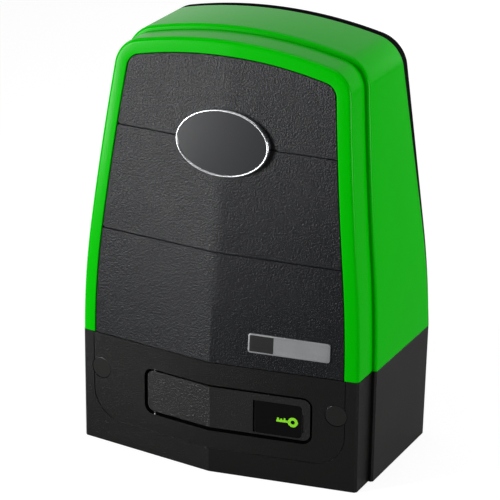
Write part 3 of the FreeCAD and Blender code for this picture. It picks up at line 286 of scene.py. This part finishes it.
def add(tree, kind, links=None, **settings):
    """A node with its settings; links maps its inputs to sockets or constant values."""
    node = tree.nodes.new(kind)
    for key, value in settings.items():
        setattr(node, key, value)
    for key, value in (links or {}).items():
        socket = node.inputs[key]
        if isinstance(value, bpy.types.NodeSocket):
            tree.links.new(value, socket)
        else:
            socket.default_value = value
    return node


def maths(tree, operation, *values):
    """The result of one Math node on sockets or numbers."""
    return add(tree, "ShaderNodeMath", dict(enumerate(values)), operation=operation).outputs[0]


def new_group(name, inputs, outputs):
    """A shader node group with named sockets; gives its tree, its input node and its output node."""
    tree = bpy.data.node_groups.new(name, "ShaderNodeTree")
    kinds = {"colour": "NodeSocketColor", "value": "NodeSocketFloat", "vector": "NodeSocketVector"}
    for label, kind, value in inputs:
        socket = tree.interface.new_socket(name=label, in_out="INPUT", socket_type=kinds[kind])
        if value is not None:
            socket.default_value = value
    for label, kind in outputs:
        tree.interface.new_socket(name=label, in_out="OUTPUT", socket_type=kinds[kind])
    return tree, tree.nodes.new("NodeGroupInput"), tree.nodes.new("NodeGroupOutput")


def clouded(tree, given, out, cloud, more_rough=None, more_level=None):
    """A slow cloudiness, times Variation, is added to the roughness and to the colour's level, with what else
    sways them. The colour and roughness that come of it go to the group's outputs."""
    sway = maths(tree, "SUBTRACT", cloud.outputs["Fac"], 0.5)
    sway = maths(tree, "MULTIPLY", sway, given.outputs["Variation"])
    rough = maths(tree, "ADD", sway, given.outputs["Roughness"])
    if more_rough is not None:
        rough = maths(tree, "ADD", rough, more_rough)
    level = sway if more_level is None else maths(tree, "ADD", sway, more_level)
    level = maths(tree, "ADD", level, 1.0)
    tint = add(tree, "ShaderNodeVectorMath", {0: given.outputs["Colour"], 3: level}, operation="SCALE")
    tree.links.new(tint.outputs[0], out.inputs["Colour"])
    tree.links.new(rough, out.inputs["Roughness"])


def off_middle(tree, noise, amount):
    """A noise's distance from its middle value, times an amount."""
    return maths(tree, "MULTIPLY", maths(tree, "SUBTRACT", noise.outputs["Fac"], 0.5), amount)


skin_outputs = [("Colour", "colour"), ("Roughness", "value"), ("Normal", "vector")]


def moulded_group():
    """Spark-eroded plastic: a fine pebbled grain raises the skin, and a slow cloudiness shifts colour and
    gloss. Grain height is in fifths of a millimetre."""
    tree, given, out = new_group(
        "moulded_skin",
        [("Colour", "colour", (0.5, 0.5, 0.5, 1)), ("Grain per metre", "value", 1500.0),
         ("Grain height", "value", 0.3), ("Roughness", "value", 0.4), ("Variation", "value", 0.06),
         ("Speckle", "value", 0.0)], skin_outputs)
    place = add(tree, "ShaderNodeTexCoord").outputs["Object"]
    grain = add(tree, "ShaderNodeTexNoise", {
        "Vector": place, "Scale": given.outputs["Grain per metre"], "Detail": 2.0, "Roughness": 0.6})
    cloud = add(tree, "ShaderNodeTexNoise", {
        "Vector": place, "Scale": 14.0, "Detail": 3.0, "Roughness": 0.55})
    clouded(tree, given, out, cloud, more_level=off_middle(tree, grain, given.outputs["Speckle"]))
    depth = maths(tree, "MULTIPLY", given.outputs["Grain height"], 0.0002)
    bump = add(tree, "ShaderNodeBump", {"Height": grain.outputs["Fac"], "Strength": 1.0, "Distance": depth})
    tree.links.new(bump.outputs[0], out.inputs["Normal"])
    return tree


def machined_group():
    """Turned, drawn or cast metal: fine marks stretched along one axis, over a slow change of tone."""
    tree, given, out = new_group(
        "metal_skin",
        [("Colour", "colour", (0.6, 0.6, 0.6, 1)), ("Marks", "vector", (40.0, 40.0, 2500.0)),
         ("Mark height", "value", 0.15), ("Roughness", "value", 0.35), ("Variation", "value", 0.15)],
        skin_outputs)
    place = add(tree, "ShaderNodeTexCoord").outputs["Object"]
    drawn = add(tree, "ShaderNodeVectorMath", {0: place, 1: given.outputs["Marks"]}, operation="MULTIPLY")
    marks = add(tree, "ShaderNodeTexNoise", {"Vector": drawn.outputs[0], "Scale": 1.0, "Detail": 3.0})
    cloud = add(tree, "ShaderNodeTexNoise", {"Vector": place, "Scale": 45.0, "Detail": 4.0})
    clouded(tree, given, out, cloud, more_rough=off_middle(tree, marks, 0.25))
    bump = add(tree, "ShaderNodeBump", {
        "Height": marks.outputs["Fac"], "Strength": given.outputs["Mark height"], "Distance": 0.0001})
    tree.links.new(bump.outputs[0], out.inputs["Normal"])
    return tree


moulded_skin = moulded_group()
metal_skin = machined_group()


def skinned(name, group, values, constants):
    """A material: one Principled surface fed by a skin group; constants go on the surface's own sockets."""
    material = bpy.data.materials.new(name)
    tree = nodes_of(material)
    skin = add(tree, "ShaderNodeGroup", node_tree=group)
    for key, value in values.items():
        skin.inputs[key].default_value = value
    surface = add(tree, "ShaderNodeBsdfPrincipled", {
        "Base Color": skin.outputs["Colour"], "Roughness": skin.outputs["Roughness"],
        "Normal": skin.outputs["Normal"]})
    for key, value in constants.items():
        surface.inputs[key].default_value = value
    add(tree, "ShaderNodeOutputMaterial", {"Surface": surface.outputs[0]})
    return material


def plastic(name, colour, roughness, grain=1500.0, height=0.3, variation=0.06, speckle=0.0, shine=0.3):
    """A moulded or painted surface; shine is the specular level."""
    return skinned(name, moulded_skin, {
        "Colour": (*colour, 1), "Roughness": roughness, "Grain per metre": grain, "Grain height": height,
        "Variation": variation, "Speckle": speckle}, {"Specular IOR Level": shine})


def metal(name, colour, roughness, marks=(40.0, 40.0, 2500.0), height=0.15, variation=0.15):
    """A bare metal; marks are the tool marks per metre along X, Y and Z."""
    return skinned(name, metal_skin, {
        "Colour": (*colour, 1), "Roughness": roughness, "Marks": marks, "Mark height": height,
        "Variation": variation}, {"Metallic": 1.0})


across = (2500.0, 2500.0, 40.0)
finishes = {
    "cover_green": plastic("green_cover", (0.0, 0.43, 0.0), 0.24, 2600.0, 0.05, 0.03, shine=0.07),
    "fascia_black": plastic(
        "grained_fascia", (0.0062, 0.0068, 0.0085), 0.34, 850.0, 2.6, 0.25, 3.6, shine=0.21),
    "base_black": plastic("satin_base", (0.0017, 0.0015, 0.0013), 0.30, 1100.0, 1.3, 0.1, 1.5, shine=0.35),
    "panel_black": plastic("back_panel", (0.0075, 0.0075, 0.008), 0.45, 1500.0, 0.8, 0.1, 0.8, shine=0.0),
    "badge_dark": plastic("bare_badge", (0.016, 0.017, 0.019), 0.3, 2600.0, 0.05, 0.04, shine=0.25),
    "rim_silver": metal("silver_rim", (0.62, 0.63, 0.65), 0.28, height=0.05),
    "door_black": plastic("door_leaf", (0.002, 0.0018, 0.0016), 0.29, 900.0, 1.8, 0.15, 3.0, shine=0.58),
    "flap_black": plastic("flap_cover", (0.002, 0.002, 0.0022), 0.3, 2600.0, 0.1, 0.05, shine=0.12),
    "zinc": metal("zinc_plate", (0.6, 0.6, 0.57), 0.36, (300.0, 300.0, 300.0), 0.1, 0.3),
    "steel": metal("ground_steel", (0.52, 0.52, 0.54), 0.24, (40.0, 3000.0, 40.0)),
    "hard_steel": metal("oiled_steel", (0.33, 0.33, 0.35), 0.3, across),
    "lock_metal": metal("nickel_lock", (0.62, 0.6, 0.55), 0.2, across, 0.05),
    "cast": metal("die_cast", (0.5, 0.51, 0.52), 0.5, (900.0, 900.0, 900.0), 0.5, 0.2),
    "bronze": metal("gear_bronze", (0.62, 0.38, 0.13), 0.3, (40.0, 3000.0, 40.0)),
    "rubber": plastic("black_rubber", (0.012, 0.012, 0.012), 0.7, 900.0, 0.4, 0.1),
    "gasket": plastic("fibre_gasket", (0.035, 0.045, 0.06), 0.8, 2600.0, 0.8, 0.2, 0.5),
    "can_paint": plastic("black_enamel", (0.01, 0.01, 0.011), 0.25, 300.0, 0.2, 0.08),
    "ferrite": plastic("ferrite", (0.02, 0.02, 0.022), 0.6, 1600.0, 0.6, 0.2, 0.6),
    "lamination": metal("core_steel", (0.3, 0.3, 0.31), 0.4, (10.0, 10.0, 1400.0), 1.0),
    "copper": metal("copper_wire", (0.62, 0.24, 0.1), 0.3, (900.0, 900.0, 60.0), 0.8),
    "carbon": plastic("carbon_brush", (0.01, 0.01, 0.01), 0.5, 1600.0, 0.4),
    "holder": plastic("brush_holder", (0.24, 0.17, 0.09), 0.5, 900.0, 0.3, 0.2, 0.6),
    "battery_grey": plastic("battery_case", (0.03, 0.032, 0.037), 0.36, 1500.0, 0.3, 0.08),
    "terminal_brass": metal("tinned_brass", (0.62, 0.5, 0.24), 0.3),
    "strap": plastic("woven_strap", (0.012, 0.012, 0.012), 0.85, 700.0, 1.0, 0.1, 1.0),
    "galvanised": metal("galvanised_sheet", (0.55, 0.56, 0.57), 0.4, (120.0, 120.0, 120.0), 0.2, 0.5),
    "deck_plastic": plastic("deck_plate", (0.02, 0.02, 0.02), 0.5, 1300.0, 0.5, 0.1, 0.4),
    "controller_grey": plastic("controller_shell", (0.26, 0.27, 0.28), 0.45, 1500.0, 0.4, 0.05),
    "board_green": plastic("circuit_board", (0.006, 0.07, 0.02), 0.3, 400.0, 0.3, 0.3, 0.8),
    "screen": plastic("display_window", (0.10, 0.13, 0.08), 0.12, 2600.0, 0.0, 0.02),
    "terminal_green": plastic("terminal_strip", (0.02, 0.16, 0.05), 0.4, 1500.0, 0.2, 0.06),
    "button_black": plastic("button_cap", (0.015, 0.015, 0.015), 0.6, 1200.0, 0.4, 0.06),
}


def plate_material():
    """The model plate: satin silver, with its left third black inside a silver line."""
    material = bpy.data.materials.new("model_plate_foil")
    tree = nodes_of(material)
    place = add(tree, "ShaderNodeTexCoord").outputs["Object"]
    split = add(tree, "ShaderNodeSeparateXYZ", {0: place})

    def outside(axis, middle, half):
        """1 beyond the half-width of a band, else 0."""
        away = maths(tree, "ABSOLUTE", maths(tree, "SUBTRACT", split.outputs[axis], middle / 1000))
        return maths(tree, "GREATER_THAN", away, half / 1000)

    black, silver = (0.008, 0.008, 0.008, 1), (0.42, 0.43, 0.44, 1)
    third_middle, third_half, line = 10.7, 9.5, 1.2
    beyond_x = outside("X", plate_at[0] - plate_size[0] / 2 + third_middle, third_half)
    beyond_z = outside("Z", plate_at[1], plate_size[1] / 2 - line)
    bare = maths(tree, "MAXIMUM", beyond_x, beyond_z)
    colour = add(tree, "ShaderNodeMix", {"Factor": bare, 6: black, 7: silver}, data_type="RGBA")
    skin = add(tree, "ShaderNodeGroup", {
        "Colour": colour.outputs[2], "Roughness": 0.38}, node_tree=metal_skin)
    surface = add(tree, "ShaderNodeBsdfPrincipled", {
        "Base Color": skin.outputs["Colour"], "Roughness": skin.outputs["Roughness"],
        "Normal": skin.outputs["Normal"], "Metallic": maths(tree, "MULTIPLY", bare, 0.85)})
    add(tree, "ShaderNodeOutputMaterial", {"Surface": surface.outputs[0]})
    return material


finishes["plate_silver"] = plate_material()
plug_black = plastic("plug_face", (0.007, 0.0065, 0.006), 0.28, 2600.0, 0.1, 0.05, shine=0.4)
key_green = plastic("key_green", (0.24, 0.72, 0.02), 0.45, 1500.0, 0.1, 0.03)


# Cover: shell, fascia, back panel, badge and model plate

def make_cover():
    """A closed profile carried round the casing: lip of the opening, front edge, side, step and rear edge
    outside, and the same a wall's thickness inside."""
    path, normals = casing_path(cover_foot)
    lip = quarter((lip_r - opening, lip_r), lip_r, 180, 270, 5)
    edge = quarter((-edge_r, edge_r), edge_r, 270, 360)
    shoulder = quarter((step_out - shoulder_r, shoulder_r), shoulder_r, 270, 360)
    outside = on(front_skin, [(-opening, wall)] + lip + edge)
    outside += on(step_skin, [(0.0, -1.2), (-0.5, -0.9), (-0.5, -0.1), (0.1, 0.0)] + shoulder)
    outside += on(back_skin, [(step_out, 0.0)])
    inside = on(back_skin, [(step_out - wall, 0.0)])
    inside += on(step_skin, [(step_out - wall, wall), (-wall, wall)]) + on(front_skin, [(-wall, wall)])
    grid = swept(path, normals, outside + inside)
    rows, columns = grid.shape[:2]
    ends = [list(range(columns)), [(rows - 1) * columns + j for j in range(columns)]]
    faces = list(quads(rows, columns, close_columns=True)) + ends
    make_piece("cover_skin", "cover", finishes["cover_green"], [(grid, faces)], 12.6,
               ("cover_shell",))


def fascia_field(inset):
    """Points seen from the front, on rows that are level low down and bend to the crown's arc near the top.
    The ends of rows and columns lie on the casing's outline, inset. The grooves' depth comes with them."""
    path, normals = casing_path(cover_foot)
    edge = path - normals * inset
    right = edge[: len(edge) // 2 + 1]
    split = int(np.argmin(np.abs(normals[: len(right), 0] - math.cos(math.radians(50)))))
    side, top = right[: split + 1], right[split:]
    heights = np.unique(np.round(np.concatenate([
        np.linspace(cover_foot, 250.0, 20), np.linspace(250.0, side[-12, 1], 6), side[-12:, 1],
        *[z + np.array([-groove_half[1], -groove_half[0], *groove_half]) for z in groove_heights]]), 3))
    width = np.interp(heights, side[:, 1], side[:, 0])
    across_top = np.concatenate([top[:-1] * [-1, 1], top[::-1]])
    share = across_top[:, 0] / across_top[-1, 0]
    level_to = 282.0
    bend = np.clip((heights - level_to) / (heights[-1] - level_to), 0, 1) ** 2
    x = width[:, None] * share[None]
    z = heights[:, None] + bend[:, None] * (across_top[:, 1] - across_top[-1, 1])[None]
    near = np.min(np.abs(heights[:, None] - np.array(groove_heights)[None]), 1)
    groove = np.where(near < 1.2 * groove_half[0], groove_depth, 0.0)[:, None] * np.ones_like(share)[None]
    return x, z, groove


def make_fascia():
    """The fascia: its front and back are the field at two depths, and its rim is a rounded profile with a
    flange, carried round the field's edge."""
    x, z, groove = fascia_field(fascia_inset + fascia_edge_r)
    rows, columns = x.shape
    front = np.stack([x, front_skin(x, z) + fascia_recess + groove, z], -1)
    back = np.stack([x, front_skin(x, z) + 2 * wall, z], -1)
    loop = [(i, columns - 1) for i in range(rows)] + [(rows - 1, j) for j in range(columns - 2, -1, -1)]
    loop += [(i, 0) for i in range(rows - 2, -1, -1)] + [(0, j) for j in range(1, columns - 1)]
    i, j = np.array(loop).T
    path = np.stack([x[i, j], z[i, j]], -1)
    along = np.roll(path, -1, 0) - np.roll(path, 1, 0)
    normals = np.stack([along[:, 1], -along[:, 0]], -1) / np.linalg.norm(along, axis=1)[:, None]
    foot = i == 0
    normals[foot] = 0.0
    normals[foot & (j == columns - 1)] = (1.0, 0.0)
    normals[foot & (j == 0)] = (-1.0, 0.0)
    rounding = quarter((0.0, fascia_recess + fascia_edge_r), fascia_edge_r, 270, 360, 3)
    rest = wall + 0.05
    flange = [(fascia_edge_r, rest), (flange_width, rest), (flange_width, 2 * wall), (0.0, 2 * wall)]
    rim = swept(path, normals, on(front_skin, rounding + flange))
    rim[:, 0, 1] += groove[i, j]
    patches = [sheet(front), sheet(back), sheet(rim, close_rows=True)]
    make_piece("fascia_plate", "cover", finishes["fascia_black"], patches, 13.0, ("fascia",))


def make_back_panel():
    """The wedge behind the shell: a strip round its edge with a rounded back corner, and a flat back whose
    rows run straight from the strip's right half to its left half."""
    path, normals = casing_path(cover_foot)
    corner_off, inner_off, proud = step_out - panel_corner_r, -2.3, (0.2, 0.05)
    corner = quarter((corner_off, -panel_corner_r), panel_corner_r, 0, 90, 5)
    outside = on(back_skin, [(proud[0], -panel_rib), proud, (step_out, proud[1])]) + on(panel_skin, corner)
    inside = on(panel_skin, [(corner_off, -panel_t), (inner_off, -panel_t)])
    inside += on(back_skin, [(inner_off, -panel_rib)])
    strip, inner = swept(path, normals, outside), swept(path, normals, inside)
    half = len(path) // 2
    edge = strip[:, -1]
    rows = np.stack([edge[:half + 1], edge[::-1][:half + 1]], 1)
    share = np.linspace(0, 1, 9)[None, :, None]
    flat = rows[:, :1] * (1 - share) + rows[:, 1:] * share
    hollow = flat + np.array([0.0, -panel_t, 0.0])
    patches = [sheet(strip), sheet(flat), sheet(hollow), sheet(inner),
               sheet(np.stack([strip[:, 0], inner[:, -1]], 1))]
    for row in (0, -1):
        foot = np.concatenate([strip[row], inner[row]])
        patches.append((foot, [list(range(len(foot)))]))
    patches.append(sheet(np.stack([flat[0], hollow[0]], 0)))
    make_piece("back_panel", "cover", finishes["panel_black"], patches, 20.0, ("rear_panel",))


def ellipse(a, b, steps=96):
    """Anticlockwise loop with half axes a and b."""
    t = np.linspace(0, 2 * math.pi, steps, endpoint=False)
    return np.stack([a * np.cos(t), b * np.sin(t)], -1)


def disc(loop, centre, skin, depth, rings=(0.0, 0.3, 0.6, 0.85, 1.0), dome=0.0):
    """A loop filled by shrunken copies of itself down to its centre, raised by a dome that falls off with the
    square of the distance."""
    share = np.array(rings)[:, None, None]
    flat = centre + (loop - centre)[None] * share
    y = skin(flat[..., 0], flat[..., 1]) + depth - dome * (1 - share[..., 0] ** 2)
    return np.stack([flat[..., 0], y, flat[..., 1]], -1)


def out_of(loop):
    """Outward normals of an anticlockwise loop."""
    along = np.roll(loop, -1, 0) - np.roll(loop, 1, 0)
    return np.stack([along[:, 1], -along[:, 0]], -1) / np.linalg.norm(along, axis=1)[:, None]


def make_badge():
    """The oval: a slightly domed field, and a half-round rim carried round the ellipse, both down to the
    fascia."""
    middle = np.array([0.0, groove_heights[1]])
    seat = fascia_recess - seat_depth
    field = middle + ellipse(badge_half[0] - badge_rim_width, badge_half[1] - badge_rim_width)
    top = disc(field, middle, badge_skin, -1.6, dome=badge_dome)
    foot = disc(field, middle, front_skin, seat)
    side = np.stack([top[-1], foot[-1]], 1)
    patches = [sheet(top, close_columns=True), sheet(foot, close_columns=True), sheet(side, close_rows=True)]
    make_piece("oval_badge_field", "cover", finishes["badge_dark"], patches, 30.0,
               ("oval_badge",))
    outer = middle + ellipse(*badge_half)
    rim = on(front_skin, [(-1.75, seat)]) + on(badge_skin, [(-1.75, -1.3)])
    rim += on(badge_skin, quarter((-0.9, -1.35), badge_rim_r, 200, 340, 8))
    rim += on(badge_skin, [(0.0, -0.9)]) + on(front_skin, [(0.0, seat)])
    patches = [sheet(swept(outer, out_of(outer), rim), close_rows=True, close_columns=True)]
    make_piece("oval_badge_rim", "cover", finishes["rim_silver"], patches, 40.0, ("badge_rim",))


def round_rectangle(middle, size, radius, steps=8):
    """Anticlockwise loop of four quarter circles joined by straight sides."""
    w, h = size[0] / 2 - radius, size[1] / 2 - radius
    loop = []
    for k, (sx, sz) in enumerate(((1, 1), (-1, 1), (-1, -1), (1, -1))):
        a = np.linspace(k, k + 1, steps + 1) * math.pi / 2
        loop.append(np.stack([sx * w + radius * np.cos(a), sz * h + radius * np.sin(a)], -1))
    return np.concatenate(loop) + middle


def make_model_plate():
    """A thin plate on the fascia: front and back are its loop filled, joined by a rounded edge."""
    middle = np.array(plate_at)
    back, edge = fascia_recess - seat_depth, 0.25
    front = back - plate_t
    loop = round_rectangle(middle, plate_size, 2.0)
    inner = loop - out_of(loop) * edge
    profile = quarter((0.0, front + edge), edge, 270, 360, 3) + [(edge, back), (0.0, back)]
    rim = swept(inner, out_of(loop), on(front_skin, profile))
    rings = (0.0, 0.2, 0.4, 0.6, 0.8, 0.9, 1.0)
    top, foot = (disc(inner, middle, front_skin, depth, rings) for depth in (front, back))
    patches = [sheet(top, close_columns=True), sheet(foot, close_columns=True), sheet(rim, close_rows=True)]
    make_piece("model_plate_blank", "cover", finishes["plate_silver"], patches, 30.0,
               ("model_plate",))


# Key sign on the flap

def make_key_sign():
    """A plain key seen flat on the flap: a ring for its bow, a bar for its shaft and three short teeth."""
    t = np.linspace(0, 2 * math.pi, 40, endpoint=False)
    bow, bow_radii = np.array([66.6, 51.5]), (1.7, 4.0)
    ring = np.stack([bow + r * np.stack([np.cos(t), np.sin(t)], -1) for r in bow_radii], 1)
    top = np.stack([ring[..., 0], front_skin(ring[..., 0], ring[..., 1]) + key_height[0], ring[..., 1]], -1)
    low = top + np.array([0.0, key_height[1] - key_height[0], 0.0])
    walls = np.stack([low[:, 0], top[:, 0], top[:, 1], low[:, 1]], 1)
    patches = [sheet(walls, close_rows=True, close_columns=True)]
    bars = [((53.6, 63.0), (50.6, 52.4)), ((54.2, 55.6), (52.4, 54.0)), ((56.8, 58.2), (52.4, 53.6)),
            ((59.4, 60.8), (52.4, 54.0))]
    box_faces = [[0, 1, 2, 3], [7, 6, 5, 4], [0, 4, 5, 1], [1, 5, 6, 2], [2, 6, 7, 3], [3, 7, 4, 0]]
    for x, z in bars:
        corners = np.array([(x[0], z[0]), (x[1], z[0]), (x[1], z[1]), (x[0], z[1])])
        skin = front_skin(corners[:, 0], corners[:, 1])
        box = np.concatenate([np.stack([corners[:, 0], skin + d, corners[:, 1]], -1) for d in key_height])
        patches.append((box, box_faces))
    make_piece("key_sign", "flap", key_green, patches, 30.0)


# All pieces

make_cover()
make_fascia()
make_back_panel()
make_badge()
make_model_plate()
make_key_sign()
eased("base_front", "base_front_shell", "base", finishes["base_black"], 0.28)
eased("base_housing", "base_rear_shell", "base", finishes["base_black"], 0.8)
eased("release_door", "door_leaf", "door", finishes["door_black"], 0.6)
eased("side_plugs", "plug_caps", "base", plug_black, 0.5)
eased("key_flap", "flap_leaf", "flap", finishes["flap_black"], 0.35)

# Every CAD node takes the finish of its material slot
slot_of = {entry["node"]: entry["material_slot"] for entry in frame["record"]["subparts"]}
for node, obj in frame["nodes"].items():
    obj.data.materials.clear()
    obj.data.materials.append(finishes[slot_of[node]])


# Floor, light and camera

def shown(tree, path):
    """1 for rays from the camera or through glass, else 0."""
    return maths(tree, "MAXIMUM", path.outputs["Is Camera Ray"], path.outputs["Is Transmission Ray"])


def make_floor():
    """A pale floor that takes shadows. To the camera and through glass it glows up to near white; a mirrored
    ray meets a tenth of that glow."""
    mesh = bpy.data.meshes.new("floor")
    half, below = 6.0, -0.0005
    mesh.from_pydata([(x * half, y * half, below) for x, y in ((-1, -1), (1, -1), (1, 1), (-1, 1))], [],
                     [(0, 1, 2, 3)])
    material = bpy.data.materials.new("pale_floor")
    tree = nodes_of(material)
    path = add(tree, "ShaderNodeLightPath")
    mirrored = maths(tree, "MULTIPLY", path.outputs["Is Glossy Ray"], 0.1)
    seen = maths(tree, "MAXIMUM", shown(tree, path), mirrored)
    matt = add(tree, "ShaderNodeBsdfDiffuse", {"Color": (0.3, 0.3, 0.3, 1)})
    glow = add(tree, "ShaderNodeEmission", {"Color": (1, 1, 1, 1), "Strength": 0.86})
    both = add(tree, "ShaderNodeAddShader", {0: matt.outputs[0], 1: glow.outputs[0]})
    mixed = add(tree, "ShaderNodeMixShader", {0: seen, 1: matt.outputs[0], 2: both.outputs[0]})
    add(tree, "ShaderNodeOutputMaterial", {"Surface": mixed.outputs[0]})
    mesh.materials.append(material)
    floor = bpy.data.objects.new("floor", mesh)
    bpy.context.scene.collection.objects.link(floor)


def make_world():
    """White to the camera and through glass. Other rays meet a dim even light; mirrored ones meet a white
    wall behind the object that dims towards the camera's side."""
    world = bpy.data.worlds.new("studio")
    bpy.context.scene.world = world
    tree = nodes_of(world)
    path = add(tree, "ShaderNodeLightPath")
    way = add(tree, "ShaderNodeTexCoord").outputs["Generated"]
    behind = add(tree, "ShaderNodeVectorMath", {0: way, 1: (-0.45, 0.85, 0.28)}, operation="DOT_PRODUCT")
    white_wall = add(tree, "ShaderNodeMapRange", {
        "Value": behind.outputs["Value"], "From Min": 0.1, "From Max": 0.8, "To Min": 0.1, "To Max": 1.0},
        interpolation_type="SMOOTHSTEP")
    level = add(tree, "ShaderNodeMix", {
        "Factor": path.outputs["Is Glossy Ray"], 2: 0.12, 3: white_wall.outputs[0]})
    level = add(tree, "ShaderNodeMix", {"Factor": shown(tree, path), 2: level.outputs[0], 3: 1.0})
    back = add(tree, "ShaderNodeBackground", {"Color": (1, 1, 1, 1), "Strength": level.outputs[0]})
    add(tree, "ShaderNodeOutputWorld", {"Surface": back.outputs[0]})


def softbox(name, place, aim, size, power):
    """A white rectangular lamp, turned to its aim; metres and watts."""
    lamp = bpy.data.lights.new(name, "AREA")
    lamp.shape = "RECTANGLE"
    lamp.size, lamp.size_y = size
    lamp.energy = power
    lamp.color = (1.0, 1.0, 1.0)
    obj = bpy.data.objects.new(name, lamp)
    bpy.context.scene.collection.objects.link(obj)
    obj.location = place
    obj.rotation_euler = (Vector(aim) - Vector(place)).to_track_quat("-Z", "Y").to_euler()


def make_camera():
    """The photograph's view: a long lens from the front right and above, rolled a little. Focal length and
    shifts are in pixels of a picture 500 wide."""
    width, sensor = 500, 36.0
    focal, shift_x, shift_y = 2802.8, 19.64, -12.90
    azimuth, height, roll = (math.radians(angle) for angle in (24.557, 20.449, 1.246))
    target, distance = Vector((0, 0.011, 0.16)), 2.2171
    level = math.cos(height)
    back = Vector((math.sin(azimuth) * level, -math.cos(azimuth) * level, math.sin(height)))
    right = (-back).cross(Vector((0, 0, 1))).normalized()
    up = right.cross(-back)
    right, up = math.cos(roll) * right + math.sin(roll) * up, math.cos(roll) * up - math.sin(roll) * right
    place = target + back * distance
    look = (-back - right * (shift_x / focal) + up * (shift_y / focal)).normalized()
    right = (right - look * right.dot(look)).normalized()
    up = right.cross(look)
    data = bpy.data.cameras.new("view")
    data.sensor_width = sensor
    data.lens = focal / width * sensor
    data.clip_end = 50.0
    obj = bpy.data.objects.new("view", data)
    bpy.context.scene.collection.objects.link(obj)
    turn = Matrix((right, up, -look)).transposed().to_4x4()
    turn.translation = place
    obj.matrix_world = turn
    bpy.context.scene.camera = obj


make_floor()
make_world()
softbox("left_front", (-1.1, -1.27, 0.42), (0, 0, 0.2), (0.4, 0.9), 36.0)
softbox("right_side", (1.8, 0.0, 0.45), (0, 0, 0.18), (0.8, 0.8), 24.0)
softbox("behind", (0.2, 1.9, 0.3), (0, 0, 0.18), (0.8, 0.5), 12.0)
softbox("above", (0.0, 0.0, 0.95), (0, 0, 0.3), (0.5, 0.5), 1.3)
make_camera()
bpy.context.scene.view_settings.view_transform = "Standard"
